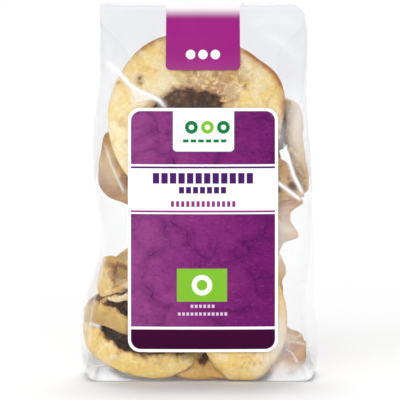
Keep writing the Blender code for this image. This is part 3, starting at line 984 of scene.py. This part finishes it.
def add_sticker(name, material, length, width, corner, steps, place, bend_highlight=None):
    """A thin sheet on the film. place(x, along) gives its inner face's points, the last argument, a function
    of along, its painted highlight.
    """
    step, columns = steps
    grid, across, up = [], [], []
    for along in stations(length, corner, step):
        half = width / 2 * rounded_share(min(along, length - along), width / 2, corner)
        u = half * np.linspace(-1, 1, columns + 1)
        grid.append(place(STICKER_MIDDLE + u, along))
        across.append(u)
        up.append(np.full(columns + 1, along))
    inner = np.array(grid)
    rows, width_points = inner.shape[:2]
    normals = unit(np.cross(np.gradient(inner, axis=1), np.gradient(inner, axis=0)))
    outer = inner + normals * STICKER_THICKNESS
    count = rows * width_points
    faces = [tuple(reversed(face)) for face in strip_faces(rows, width_points)]
    faces += strip_faces(rows, width_points, first=count)
    border = (
        list(range(width_points))
        + [r * width_points + width_points - 1 for r in range(1, rows)]
        + [(rows - 1) * width_points + c for c in range(width_points - 2, -1, -1)]
        + [r * width_points for r in range(rows - 2, 0, -1)]
    )
    for a, b in zip(border, border[1:] + border[:1]):
        faces.append((a, b, b + count, a + count))
    points = np.vstack((inner.reshape(-1, 3), outer.reshape(-1, 3)))
    u, v = np.array(across).reshape(-1), np.array(up).reshape(-1)
    attributes = [("across", np.tile(u, 2)), ("up", np.tile(v, 2))]
    if bend_highlight is not None:
        attributes.append(("bend_highlight", np.tile(bend_highlight(v), 2)))
    sheet = add_mesh(name, points, faces, material, attributes)
    sheet.data.set_sharp_from_angle(angle=math.radians(SHARP_ANGLE))
    return sheet


def label_point(x, along):
    """Points on the inner face of the label, at a distance up from its lower end."""
    height = np.full(x.shape, LABEL_BOTTOM + along)
    return np.column_stack((x, -(front_depth(x, height) + STICKER_GAP), height))


STRIP_UP = ROLL_START - STRIP_FRONT_END
STRIP_OVER = math.pi * (ROLL_RADIUS + STICKER_GAP)
STRIP_LENGTH = STRIP_UP + STRIP_OVER + (ROLL_START - STRIP_BACK_END)
# Distances from where the strip starts to bend, over which its painted highlight comes and goes
HIGHLIGHT_RISE = (-4.5, 1.5)
HIGHLIGHT_FALL = (9.0, 15.0)


def strip_point(x, along):
    """Points on the inner face of the strip: up the front, over the roll and down the back."""
    if along <= STRIP_UP:
        height = np.full(x.shape, STRIP_FRONT_END + along)
        return np.column_stack((x, -(front_depth(x, height) + STICKER_GAP), height))
    if along >= STRIP_UP + STRIP_OVER:
        height = np.full(x.shape, ROLL_START - (along - STRIP_UP - STRIP_OVER))
        return np.column_stack((x, back_depth(x, height, STRIP_RAMP) + STICKER_GAP, height))
    angle = math.pi * (along - STRIP_UP) / STRIP_OVER
    wall = front_depth(x, ROLL_START) if angle < math.pi / 2 else back_depth(x, ROLL_START)
    depth = (wall + STICKER_GAP) * math.cos(angle)
    height = ROLL_START + (ROLL_RADIUS + STICKER_GAP) * math.sin(angle)
    return np.column_stack((x, -depth, np.full(x.shape, height)))


def strip_bend_highlight(along):
    """The painted highlight: 1 where the strip bends over the top, fading down the front and the back."""
    past = along - STRIP_UP
    return smooth_step(*HIGHLIGHT_RISE, past) * (1 - smooth_step(*HIGHLIGHT_FALL, past))


# Apple rings

RING_SEGMENTS = 48
RING_LOOPS = 7
FINE_SEGMENTS = 200
FINE_LOOPS = 22

# What a ring has unless its own entry says otherwise
RING_DEFAULTS = dict(
    hole_at=(0.0, 0.0), bulges=(), uneven=0.03, tilt=0, wave=1.2, thickness=3.2, relief=1.0, hold=0.1,
    edge_on=False, toast=0.0, rim=0.35, core=1.6, dark=1.0, marks=(),
)


def apple_ring(name, seed, **options):
    """The values of a ring, with the usual ones filled in."""
    return {**RING_DEFAULTS, "name": name, "seed": seed, **options}


# Most rings that show have edges: points on the outer edge, each with the point across from it on the
# hole's edge. The others have a centre (at), half width and half height (size), the same for the hole,
# which may lie off the middle (hole_at), bulges (direction, share, width), an uneven outline, a wave and a
# tilt back in degrees. relief is the strength of the wrinkles, hold how firmly a ring keeps its place, and
# edge_on rings may touch the film with their rim. tone is pale below 0 and golden above. rim is the
# strength of the tanned rim and rim_at where it is strongest. core and dark are the reach and strength of
# the brown core, stain a longer reach in one direction (direction, length); a very large core turns a whole
# ring dark brown as painted shade. marks are brown spots (across, height, radius, strength), and some of
# them are painted shade. Directions are in degrees, from the right towards the top.
RINGS = (
    apple_ring(
        "front_top", 1, at=(-2.2, -25.0, 118.2), size=(39.0, 39.0), hole=(13.6, 9.5), hole_at=(-2.2, 4.6),
        bulges=((24.0, 0.11, 22.0), (124.0, 0.055, 24.0)), uneven=0.012, tilt=14, wave=0.5, thickness=3.4,
        hold=3.0, tone=0.0, rim=1.6, rim_at=62.0, core=1.1, stain=(50.0, 13.0),
        marks=(
            (-26.6, 136.3, 1.4, 0.9), (-26.4, 134.3, 1.2, 0.8), (7.7, 138.3, 1.1, 0.6),
            (-18.0, 154.5, 2.0, 0.6), (-22.2, 152.4, 1.9, 0.45), (-25.5, 150.0, 1.9, 0.5),
            (-28.0, 147.0, 1.7, 0.4), (-20.5, 125.4, 2.2, 0.5),
        ),
    ),
    # Its toast, tan tone and marks are partly the ring's own browning and partly painted shade under the ring
    # above it
    apple_ring(
        "front_top_left", 2, hold=3.0, edge_on=True, tone=0.27, toast=0.9,
        marks=((-43.0, 88.0, 5.0, 0.35), (-37.0, 83.0, 3.5, 0.45)),
        edges=(
            (-43.5, -10, 111, -28, -14, 100), (-46.5, -12, 101, -31, -14, 96),
            (-46.5, -13, 91, -31, -15, 92), (-42, -15, 83.5, -27, -15, 88),
            (-33, -15.5, 79.5, -21, -15, 85), (-16, -16, 71, -12, -15, 84), (6, -15, 74, -4, -14, 88),
            (16, -12, 88, 0, -13, 94), (13, -10, 102, -2, -12, 100), (-2, -9, 110, -9, -12, 103),
            (-20, -9, 113, -18, -13, 104), (-35, -9, 114, -24, -13, 103),
        ),
    ),
    apple_ring(
        "front_low_right", 3, at=(20.0, -29.0, 27.8), size=(20.3, 27.4), hole=(7.0, 9.0), tilt=4,
        wave=0.7, relief=1.5, hold=3.0, edge_on=True, tone=0.08,
        marks=(
            (22.5, 9.3, 0.8, 0.5), (25.0, 8.6, 0.9, 0.5), (27.5, 8.9, 0.8, 0.4), (19.0, 6.9, 0.7, 0.4),
        ),
    ),
    apple_ring(
        "base_left", 4, thickness=3.2, relief=1.5, hold=5.0, edge_on=True, tone=0.24, rim=0.15, core=0.6,
        marks=((-36.5, 12.6, 0.9, 0.6), (-35.0, 13.6, 0.8, 0.5)),
        edges=(
            (-50, 0, 27, -44, -2, 29), (-54, -8, 20.5, -48.5, -14, 27), (-51, -15, 14.5, -45, -20, 24),
            (-45.5, -23, 9.5, -40.5, -25, 19.5), (-36, -28, 5, -34.5, -27.5, 15),
            (-24, -29, 2, -24, -27.5, 13), (-12, -28, 2.5, -13, -26, 13), (-3, -25, 7, -6, -20, 13),
            (4, -10, 14, -4, -8, 17), (2, 10, 24, -6, 6, 24), (-14, 22, 31, -16, 12, 28),
            (-36, 16, 33, -31, 8, 30),
        ),
    ),
    apple_ring(
        "left_band", 19, thickness=2.8, relief=1.5, hold=5.0, edge_on=True, tone=0.3, toast=0.55,
        core=0.5, dark=0.6,
        # Its marks along the top are painted shade in the slot under the pale ring above
        marks=((-41.0, 35.5, 1.8, 0.6), (-36.5, 33.8, 2.2, 0.8), (-32.5, 31.8, 2.4, 0.8)),
        edges=(
            (-53.5, -7, 25.5, -49, -6, 36), (-52, -14, 25.5, -47, -13, 36),
            (-48, -20, 25.5, -43.5, -20, 35), (-41.5, -25, 24.4, -38.5, -24.5, 33),
            (-34, -26.5, 21.6, -33, -25.5, 30.5), (-22, -25, 17, -22, -22, 28),
            (-10, -24, 17, -12, -19, 27), (2, -14, 22, -5, -10, 28), (4, 4, 30, -5, 3, 33),
            (-8, 18, 38, -13, 9, 37), (-28, 20, 42, -26, 11, 40), (-45, 8, 36, -40, 3, 38),
        ),
    ),
    apple_ring(
        "left_twist", 5, thickness=2.4, relief=1.2, hold=5.0, edge_on=True, tone=0.14, toast=0.1,
        core=0.9, dark=0.4,
        marks=(
            (-40.5, 51.8, 2.2, 0.65), (-37.0, 50.4, 2.6, 0.75), (-35.0, 48.0, 1.8, 0.7),
            (-34.5, 45.0, 1.6, 0.6), (-34.0, 41.5, 1.4, 0.6),
        ),
        edges=(
            (-47.2, -15, 45.5, -38, -20, 46), (-44.5, -12, 54.5, -37, -16, 51),
            (-34, -11, 53.5, -32, -15, 50), (-18, -12, 51, -18, -15, 48.5), (-4, -13, 49, -12, -16, 47.5),
            (0, -18, 45, -10, -20, 46), (-8, -24, 41.5, -14, -23, 46), (-22, -26.5, 42, -22, -26, 48),
            (-31, -26.5, 42.5, -32, -26, 48.5), (-43.5, -20, 37.5, -37, -24, 42.5),
        ),
    ),
    apple_ring(
        "left_pale", 20, thickness=2.4, hold=5.0, tone=-0.3, core=0.4, dark=0.5,
        edges=(
            (-42, -21, 38, -39, -20, 38.5), (-38, -24.5, 36.2, -35.5, -24, 39),
            (-31, -26, 36.4, -30, -25.5, 40.5), (-18, -26, 35, -19, -25, 40), (-4, -24, 31, -9, -22, 38),
            (4, -14, 34, -5, -13, 38), (2, -2, 38, -8, -5, 39), (-14, 6, 41, -17, -1, 40),
            (-30, 2, 41, -27, -4, 40), (-40, -10, 38, -34, -12, 39),
        ),
    ),
    # A dark brown piece behind the gap between the lower left rings: its very large core is painted shade of
    # the bag's inside
    apple_ring(
        "left_shade_piece", 21, thickness=2.4, relief=0.25, hold=2.0, core=30.0,
        edges=(
            (-49, -8, 20, -37, -7, 19), (-45, -7, 32, -36, -7, 20.5), (-37, -6, 38, -34, -7, 21),
            (-27, -6, 39, -32, -7, 20.5), (-20, -6, 28, -31, -7, 19), (-22, -7, 14, -32, -7, 17.5),
            (-34, -8, 8, -34, -7, 17), (-44, -8, 12, -36, -7, 17.5),
        ),
    ),
    # Its wide brown inner edge and its marks are painted shade along its inner edge
    apple_ring(
        "right_edge", 6, thickness=2.6, hold=5.0, edge_on=True, tone=-0.25, toast=0.2, core=1.5, dark=0.6,
        marks=(
            (39.8, 107.5, 2.4, 0.6), (40.3, 102.5, 3.0, 0.8), (41.8, 97.5, 2.6, 0.8),
            (44.0, 93.0, 1.8, 0.6),
        ),
        edges=(
            (41.5, -6, 127, 39.5, -4, 118), (45, -14, 124, 39.8, -9, 117), (48, -19, 117, 39.8, -13, 112),
            (47, -20, 109, 39.8, -15, 107), (48.2, -18, 101, 40.3, -14, 101.5),
            (49.6, -15, 93, 42.3, -13, 96), (49.6, -11, 85.5, 45, -9, 90), (45.5, 0, 84, 42, 1, 92),
            (40, 9, 89, 38, 6, 97), (36, 12, 100, 36, 7, 104), (34, 10, 113, 35.5, 4, 111),
            (36, 2, 123, 37.5, -1, 116),
        ),
    ),
    # A dark brown piece behind the gap beside the right edge ring: its very large core is painted shade of
    # the bag's inside
    apple_ring(
        "right_shade_piece", 22, thickness=2.4, relief=0.25, hold=2.0, core=30.0,
        edges=(
            (41, -8, 112, 37, -8, 111), (40, -8, 119, 36, -8, 112), (34, -7, 122, 34, -8, 113),
            (26, -7, 118, 32, -8, 112), (25, -7, 110, 31.5, -8, 110), (30, -8, 104.5, 33, -8, 109),
            (36, -8, 103.5, 35, -8, 109), (40, -8, 106, 36.5, -8, 110),
        ),
    ),
    apple_ring(
        "right_inner", 7, thickness=2.4, hold=6.0, edge_on=True, toast=0.6, core=0.5, dark=0.5,
        marks=((42.5, 88.0, 2.8, 1.0), (40.5, 91.5, 1.6, 0.8)),
        edges=(
            (47.5, -22.5, 83.5, 36, -22, 86), (45.6, -22.5, 88.5, 35, -21, 89.5),
            (43.2, -21.5, 93.8, 32, -20, 92), (39.5, -19.5, 99.3, 28, -16, 94),
            (30, -15, 103, 24, -13, 94), (20, -12, 103, 18, -12, 92), (12, -12, 94, 15, -13, 88),
            (14, -14, 83, 18, -16, 84), (24, -18, 77, 24, -18, 83), (38, -21, 81.5, 31, -20, 84.5),
        ),
    ),
    apple_ring(
        "right_jagged", 8, thickness=2.4, hold=4.0, tone=-0.3, toast=0.8, core=0.6,
        edges=(
            (47, -20, 81.5, 28, -20, 79), (42.3, -21, 77, 29, -21, 76), (41.3, -21, 73, 29, -22, 73),
            (45, -20, 65.5, 28, -22, 70), (38, -22, 62, 26, -22, 66), (34, -23, 55, 22, -22, 63),
            (20, -22, 50, 17, -22, 62), (5, -20, 54, 11, -21, 65), (-3, -19, 68, 8, -20, 72),
            (2, -18, 84, 11, -19, 79), (18, -18, 90, 18, -19, 83), (36, -19, 88, 25, -19, 82),
        ),
    ),
    apple_ring(
        "low_right_edge", 9, thickness=2.8, hold=3.0, edge_on=True, tone=0.1, toast=0.9, core=0.8,
        edges=(
            (38, -22, 24, 34, -20, 17), (44, -23, 22.2, 37, -20, 16), (49.5, -21, 18, 38, -19, 14),
            (49, -22, 12, 37, -19, 12), (46, -25, 6, 34, -21, 10), (38, -26, 3.5, 30, -21, 9),
            (26, -24, 4, 26, -20, 9), (15, -21, 5, 22, -19, 11), (12, -18, 13, 22, -18, 14),
            (20, -18, 21, 26, -18, 17),
        ),
    ),
    apple_ring(
        "front_middle", 10, at=(0.0, -27.0, 62.0), size=(29.0, 26.0), hole=(9.0, 8.0), tilt=-2, hold=0.6,
    ),
    apple_ring(
        "low_middle", 11, at=(1.0, -21.0, 11.5), size=(20.0, 12.5), hole=(6.0, 3.5), tilt=30, hold=2.0,
        edge_on=True, tone=0.15, toast=0.5, core=0.4, dark=0.45,
    ),
    apple_ring("back_top", 12, at=(3.0, 20.0, 106.0), size=(33.0, 32.0), hole=(11.0, 10.0), tilt=-14),
    # Its very large core makes it dark brown, as painted shade seen through the hole of the front top ring
    apple_ring(
        "middle_top", 13, at=(-2.0, 2.0, 112.0), size=(30.0, 31.0), hole=(4.0, 3.0), tilt=14, core=24.0,
    ),
    apple_ring(
        "back_low_left", 14, at=(-18.0, 26.0, 33.0), size=(31.0, 27.0), hole=(11.0, 10.0),
        # Its marks are dark patches of painted shade, seen through the gaps between the rings on the left
        marks=((-37.0, 48.0, 5.0, 0.65), (-39.0, 43.0, 3.5, 0.65), (-36.0, 15.0, 7.0, 0.85)),
    ),
    apple_ring("back_low_right", 15, at=(11.0, 24.0, 36.0), size=(27.0, 28.0), hole=(10.0, 9.0), tilt=4),
    apple_ring("middle_middle", 16, at=(2.0, 6.0, 72.0), size=(32.0, 33.0), hole=(10.0, 10.0), tilt=38),
    apple_ring("middle_low", 17, at=(8.0, 8.0, 48.0), size=(32.0, 28.0), hole=(11.0, 10.0), tilt=60),
    # Toasted with a wide core: dark brown as painted shade low down behind the front rings
    apple_ring(
        "base_right", 18, at=(14.0, 3.0, 7.0), size=(34.0, 26.0), hole=(10.0, 9.0), tilt=86, hold=1.0,
        toast=0.9, core=6.0,
    ),
)


def turned(angles, direction):
    """Angles in radians as degrees from a direction, between -180 and 180."""
    return (np.degrees(angles) - direction + 180) % 360 - 180


def phase(rng):
    """A random start of a wave round a ring, in radians."""
    return rng.uniform(0, 6.28)


def ring_profile(ring, angles):
    """The hole's edge and the outer edge of a flat ring at angles round it, as points across and up."""
    rng = random.Random(ring["seed"])
    outer = np.ones(angles.shape)
    for k in (2, 3, 4, 5, 7):
        amount = rng.uniform(0.2, 1.0) * ring["uneven"] / math.sqrt(k)
        outer = outer + amount * np.cos(k * angles + phase(rng))
    for direction, amount, width in ring["bulges"]:
        outer = outer + amount * np.exp(-((turned(angles, direction) / width) ** 2))
    inner = 1.0 + rng.uniform(0.02, 0.07) * np.cos(5 * angles + phase(rng))
    for k in (2, 3, 4):
        inner = inner + rng.uniform(0.2, 1.0) * 0.08 * np.cos(k * angles + phase(rng))
    circle = np.column_stack((np.cos(angles), np.sin(angles)))
    return ring["hole_at"] + circle * ring["hole"] * inner[:, None], circle * ring["size"] * outer[:, None]


def ring_sheet(ring):
    """The middle surface of a ring before it is pushed about: loops by segments of points."""
    share = np.linspace(0, 1, RING_LOOPS)[:, None, None]
    if "edges" in ring:
        edges = np.array(ring["edges"], float)
        around = cubic_weights(np.arange(RING_SEGMENTS) * len(edges) / RING_SEGMENTS, len(edges), True)
        outer, inner = around @ edges[:, :3], around @ edges[:, 3:]
        return inner + (outer - inner) * share
    rng = random.Random(ring["seed"] * 7 + 1)
    angles = np.linspace(0, 2 * math.pi, RING_SEGMENTS, endpoint=False)
    inner, outer = ring_profile(ring, angles)
    flat = inner + (outer - inner) * share
    far = np.linalg.norm(flat / np.array(ring["size"]), axis=-1)
    wave = ring["wave"]
    rise = wave * 1.2 * far**2 * np.cos(2 * angles + phase(rng))
    for k in (3, 4, 5):
        rise = rise + wave * rng.uniform(0.3, 0.9) * far**2.5 * np.cos(k * angles + phase(rng))
    rise = rise + rng.uniform(-1.0, 1.0) * wave * far**2
    points = np.concatenate((flat, rise[..., None]), axis=-1)
    upright = Matrix(((1, 0, 0), (0, 0, -1), (0, 1, 0)))
    turn = Matrix.Rotation(math.radians(-ring["tilt"]), 3, "X") @ upright
    return points @ np.array(turn).T + ring["at"]


def fitted(rest, now):
    """The rest shape moved and turned, without bending, to lie nearest to the present shape."""
    a, b = rest.reshape(-1, 3), now.reshape(-1, 3)
    centre_a, centre_b = a.mean(axis=0), b.mean(axis=0)
    u, _, vt = np.linalg.svd((a - centre_a).T @ (b - centre_b))
    flip = np.diag((1.0, 1.0, np.sign(np.linalg.det(u @ vt))))
    return ((a - centre_a) @ (u @ flip @ vt) + centre_b).reshape(rest.shape)


def smoothed(move):
    """A displacement of a ring's grid, evened out over neighbours."""
    around = (np.roll(move, 1, axis=1) + np.roll(move, -1, axis=1)) / 2
    padded = np.concatenate((move[:1], move, move[-1:]))
    across = (padded[:-2] + padded[2:]) / 2
    return 0.4 * move + 0.3 * around + 0.3 * across


SETTLE_ROUNDS = 40
# Room between settling fruit and the film, between finished fruit and the film, and between two rings
FRUIT_MARGIN = 0.9
SKIN_GAP = 0.75
RING_GAP = 0.3
# How much of its bending and of its shift a ring loses in a round
STIFFNESS = 0.25
PULL_BACK = 0.04


def pushes(sheets, rings, quads):
    """How far the rings that are too close push each other's points apart, one grid for each ring."""
    flat = [sheet.reshape(-1, 3) for sheet in sheets]
    trees = [BVHTree.FromPolygons(points.tolist(), quads) for points in flat]
    boxes = [(points.min(axis=0), points.max(axis=0)) for points in flat]
    moves = []
    for i, points in enumerate(flat):
        move = np.zeros(points.shape)
        for j, tree in enumerate(trees):
            if i == j:
                continue
            room = (rings[i]["thickness"] + rings[j]["thickness"]) / 2 + RING_GAP
            low, high = boxes[j][0] - room, boxes[j][1] + room
            for k in np.nonzero(np.all((points > low) & (points < high), axis=1))[0]:
                found, _, _, distance = tree.find_nearest(Vector(points[k]), room)
                if found is not None and distance > 1e-4:
                    move[k] += (points[k] - np.array(found)) * (room - distance) / distance * 0.5
        moves.append(move.reshape(sheets[i].shape))
    return moves


def settle(sheets, rings):
    """Pushes the rings apart and into the bag, while each keeps close to its own shape."""
    margins = []
    for ring in rings:
        half = ring["thickness"] / 2
        margins.append((FRUIT_MARGIN + half, FRUIT_MARGIN + (0.0 if ring["edge_on"] else half)))
    now = [inside(sheet, *margin) for sheet, margin in zip(sheets, margins)]
    quads = strip_faces(RING_LOOPS, RING_SEGMENTS, closed=True)
    for _ in range(SETTLE_ROUNDS):
        moves = pushes(now, rings, quads)
        for i, ring in enumerate(rings):
            moved = now[i] + smoothed(smoothed(moves[i]))
            moved = moved + STIFFNESS * (fitted(sheets[i], moved) - moved)
            moved = moved + PULL_BACK * ring["hold"] * (sheets[i] - moved)
            kept = inside(moved, *margins[i])
            now[i] = inside(moved + smoothed(kept - moved), *margins[i])
    return now


def cubic_weights(positions, count, closed):
    """Matrix of Catmull-Rom weights that reads a grid of count rows at fractional positions."""
    weights = np.zeros((len(positions), count))
    for row, position in enumerate(positions):
        base = math.floor(position) if closed else min(math.floor(position), count - 2)
        t = position - base
        parts = (
            -0.5 * t**3 + t**2 - 0.5 * t,
            1.5 * t**3 - 2.5 * t**2 + 1,
            -1.5 * t**3 + 2 * t**2 + 0.5 * t,
            0.5 * t**3 - 0.5 * t**2,
        )
        for shift, part in zip((-1, 0, 1, 2), parts):
            index = (base + shift) % count if closed else min(max(base + shift, 0), count - 1)
            weights[row, index] += part
    return weights


# Shares of a ring's thickness over which its outer edge and its hole's edge are rounded
EDGE_ROUND = 0.38
HOLE_ROUND = 0.30
USUAL_CORE = 1.6
RIM_REACH = 2.4
# Angles in degrees over which a rim that is strongest in one direction and a stain fade out
RIM_SPREAD = 75.0
STAIN_SPREAD = 32.0


def seeded_circle(angles, seed):
    """A circle in space, at a level of its own for each seed, to read noise from."""
    return np.column_stack((np.cos(angles), np.sin(angles), np.full(len(angles), seed * 0.37)))


def ring_surface(ring, sheet, angles, share):
    """The fine middle surface of a ring, with a torn hole and a nibbled outer edge."""
    seed = ring["seed"]
    turn = np.arange(FINE_SEGMENTS) * RING_SEGMENTS / FINE_SEGMENTS
    around = cubic_weights(turn, RING_SEGMENTS, True)
    across = cubic_weights(share[:, 0] * (RING_LOOPS - 1), RING_LOOPS, False)
    fine = np.einsum("ra,sb,abk->rsk", across, around, sheet)
    circle = seeded_circle(angles, seed)
    inward = -unit(np.gradient(fine, axis=0))
    ragged = perlin(circle, 0.35, seed) * 1.6 + perlin(circle, 0.10, seed + 40) * 0.8
    nibbled = perlin(circle, 0.25, seed + 80) * 0.5
    return fine + inward * (ragged * (1 - share) ** 3 - nibbled * share**4)[..., None]


def ring_faces(rows, columns):
    """Faces of a ring's upper and lower side, which share their points at the two edges."""
    faces = strip_faces(rows, columns, closed=True)
    first = rows * columns

    def low(r, c):
        c = c % columns
        return r * columns + c if r in (0, rows - 1) else first + (r - 1) * columns + c

    for r in range(rows - 1):
        for c in range(columns):
            faces.append((low(r, c), low(r + 1, c), low(r + 1, c + 1), low(r, c + 1)))
    return faces


def ring_paint(ring, fine, flat, angles, share, from_hole, from_edge):
    """The values that the material reads at a ring's points, by name."""
    seed, core_reach = ring["seed"], ring["core"]
    rim = ring["rim"] * np.exp(-((from_edge / RIM_REACH) ** 2))
    if "rim_at" in ring:
        rim = rim * np.exp(-((turned(angles, ring["rim_at"]) / RIM_SPREAD) ** 4))
    uneven = 3.5 * np.clip(perlin(seeded_circle(angles, seed), 0.7, seed + 11) + 0.15, 0, 1)
    spread = core_reach + uneven * min(1.0, core_reach / USUAL_CORE)
    reach = spread * 2.2
    if "stain" in ring:
        direction, length = ring["stain"]
        reach = reach + length * np.exp(-((turned(angles, direction) / STAIN_SPREAD) ** 2))
    torn = 1.0 + 0.8 * perlin(fine, 2.5, seed + 13)
    core = ring["dark"] * np.clip(1.1 * np.exp(-((from_hole * torn / spread) ** 1.5)), 0, 1)
    # Marks: brown spots, and on some rings painted shade
    for x, height, radius, strength in ring["marks"]:
        far = np.hypot(fine[..., 0] - x, fine[..., 2] - height)
        core = np.maximum(core, strength * np.exp(-((far * torn / radius) ** 2)))
    fringe = np.exp(-((from_hole * torn / reach) ** 2))
    tone = ring.get("tone", random.Random(seed * 13 + 5).uniform(-0.1, 0.12))
    toast = ring["toast"] * np.clip(0.6 + 0.9 * perlin(flat, 0.7, seed + 12) + 0.4 * share, 0, 1)
    return {"rim": rim, "core": core, "fringe": fringe, "tone": np.full(torn.shape, tone), "toast": toast}


def add_ring(ring, sheet, material):
    """A ring of dried apple: a fine thick sheet with wrinkles, rounded edges and a torn core."""
    seed, thick, relief = ring["seed"], ring["thickness"], ring["relief"]
    angles = np.linspace(0, 2 * math.pi, FINE_SEGMENTS, endpoint=False)
    # Loops are closer together at the two edges, where the ring is rounded
    share = (0.5 - 0.5 * np.cos(np.linspace(0, math.pi, FINE_LOOPS)))[:, None]
    fine = ring_surface(ring, sheet, angles, share)
    widths = np.linalg.norm(np.diff(fine, axis=0), axis=-1)
    from_hole = np.vstack((np.zeros(FINE_SEGMENTS), np.cumsum(widths, axis=0)))
    from_edge = from_hole[-1] - from_hole
    along = np.roll(fine, -1, axis=1) - np.roll(fine, 1, axis=1)
    normals = unit(np.cross(np.gradient(fine, axis=0), along))
    # Wrinkles: broad dents, finer radial creases and a curled torn core
    wide = 1.0 + share
    level = np.full(fine.shape[:2], seed * 3.1)
    flat = np.stack((np.cos(angles) * wide, np.sin(angles) * wide, level), axis=-1)
    dents = perlin(flat, 0.55, seed + 3) * 1.1 + perlin(flat, 0.2, seed + 4) * 0.45
    creases = perlin(flat, 0.09, seed + 5) * 0.22
    curl = perlin(seeded_circle(angles, seed), 0.30, seed + 6) * 1.6 * np.exp(-from_hole / 2.5)
    fine = fine + normals * (relief * (dents * 0.55 + creases + curl))[..., None]
    # Half the thickness: uneven, thinner towards the hole and rounded at both edges
    uneven = 0.30 * perlin(flat, 0.45, seed + 7) + 0.12 * perlin(flat, 0.12, seed + 8)
    half = thick / 2 * (1 + relief * uneven)
    half = half * (1 - 0.62 * np.exp(-from_hole / 2.6))
    edge = np.minimum(from_edge / (thick * EDGE_ROUND), from_hole / (thick * HOLE_ROUND))
    roundness = np.sqrt(np.clip(1 - (1 - np.clip(edge, 0, 1)) ** 2, 0, 1))
    half = half * roundness
    above, below = (half + perlin(flat, 0.07, seed + k) * 0.12 * relief * roundness for k in (9, 10))
    top = fine + normals * above[..., None]
    bottom = fine - normals * below[..., None]
    points = np.vstack((top.reshape(-1, 3), bottom[1:-1].reshape(-1, 3)))
    points = inside(points, SKIN_GAP, SKIN_GAP)
    values = ring_paint(ring, fine, flat, angles, share, from_hole, from_edge)
    attributes = []
    for label, value in values.items():
        attributes.append((label, np.concatenate((value.reshape(-1), value[1:-1].reshape(-1)))))
    return add_mesh("ring_" + ring["name"], points, ring_faces(*fine.shape[:2]), material, attributes)


# Scene

CAMERA_DISTANCE = 1.300
CAMERA_ELEVATION = 4.0
CAMERA_LENS = 254.35
CAMERA_AIM = (0.00046, 0.0, 0.0804)
HORIZON_LIGHT = 1.01
OVERHEAD_LIGHT = 0.32
SKY_REACH = 0.3
# Name, azimuth, elevation, strength and softness. Azimuth 0 is the front and turns to the right
SUNS = (("front", -12.0, 22.0, 1.88, 55.0), ("top", 176.0, 69.0, 2.0, 28.0))
FLOOR_HALF = 60000.0
FLOOR_GREYS = ((0.88, 0.88, 0.88), (0.89, 0.89, 0.89))


def add_camera():
    """The camera at the photo's viewing angle."""
    elevation = math.radians(CAMERA_ELEVATION)
    camera = bpy.data.objects.new("camera", bpy.data.cameras.new("camera"))
    camera.data.lens = CAMERA_LENS
    camera.data.clip_end = 200.0
    back = Vector((0.0, -math.cos(elevation), math.sin(elevation)))
    camera.location = Vector(CAMERA_AIM) + back * CAMERA_DISTANCE
    camera.rotation_euler = (math.radians(90.0) - elevation, 0.0, 0.0)
    bpy.context.scene.collection.objects.link(camera)
    bpy.context.scene.camera = camera


def add_sun(name, azimuth, elevation, strength, softness):
    """Even light from a direction in degrees."""
    light = bpy.data.objects.new(name, bpy.data.lights.new(name, "SUN"))
    light.data.energy = strength
    light.data.angle = math.radians(softness)
    turn, up = math.radians(azimuth), math.radians(elevation)
    towards = Vector((math.sin(turn) * math.cos(up), -math.cos(turn) * math.cos(up), math.sin(up)))
    light.rotation_euler = towards.to_track_quat("Z", "Y").to_euler()
    bpy.context.scene.collection.objects.link(light)


def add_floor():
    """A wide pale floor."""
    g = Graph("floor")
    colour = g.mix(g.ramp(g.noise(g.place(), 0.2, 2.0), 0.4, 0.6, 0.0, 0.2), *FLOOR_GREYS)
    corners = [(x * FLOOR_HALF, y * FLOOR_HALF, 0) for x, y in ((-1, -1), (1, -1), (1, 1), (-1, 1))]
    floor = add_mesh("floor", corners, [(0, 1, 2, 3)], g.surface(colour, 0.8, 0.2))


def add_light():
    """A studio that is white at the horizon and dimmer above, with a soft light in front and one on top."""
    world = bpy.data.worlds.new("studio")
    world.use_nodes = True
    tree = world.node_tree
    place = tree.nodes.new("ShaderNodeTexCoord")
    split = tree.nodes.new("ShaderNodeSeparateXYZ")
    fall = tree.nodes.new("ShaderNodeMapRange")
    fall.inputs["From Max"].default_value = SKY_REACH
    fall.inputs["To Min"].default_value = HORIZON_LIGHT
    fall.inputs["To Max"].default_value = OVERHEAD_LIGHT
    tree.links.new(place.outputs["Generated"], split.inputs[0])
    tree.links.new(split.outputs["Z"], fall.inputs["Value"])
    tree.links.new(fall.outputs["Result"], tree.nodes["Background"].inputs["Strength"])
    tree.nodes["Background"].inputs["Color"].default_value = (1.0, 1.0, 1.0, 1.0)
    bpy.context.scene.world = world
    for sun in SUNS:
        add_sun(*sun)


def fruit_tree(rings):
    """One search tree of all rings, in millimetres."""
    corners, faces = [], []
    for ring in rings:
        first = len(corners)
        corners += [tuple(v.co / MM) for v in ring.data.vertices]
        faces += [tuple(first + i for i in p.vertices) for p in ring.data.polygons]
    return BVHTree.FromPolygons(corners, faces)


def main():
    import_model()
    bpy.context.scene.view_settings.view_transform = "Standard"
    add_camera()
    add_light()
    add_floor()
    flesh = flesh_material()
    sheets = settle([ring_sheet(ring) for ring in RINGS], RINGS)
    rings = [add_ring(ring, sheet, flesh) for ring, sheet in zip(RINGS, sheets)]
    film = add_film(film_material(), fruit_tree(rings))
    label = add_sticker(
        "label", label_material(), LABEL_HEIGHT, LABEL_WIDTH, LABEL_CORNER, LABEL_STEPS, label_point
    )
    strip = add_sticker(
        "strip", strip_material(), STRIP_LENGTH, STRIP_WIDTH, STRIP_CORNER, STRIP_STEPS,
        strip_point, strip_bend_highlight,
    )
    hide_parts("bag")
    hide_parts("front_label")
    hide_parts("closing_strip")
    for piece in (film, label, strip, *rings):
        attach(piece, "root")


main()
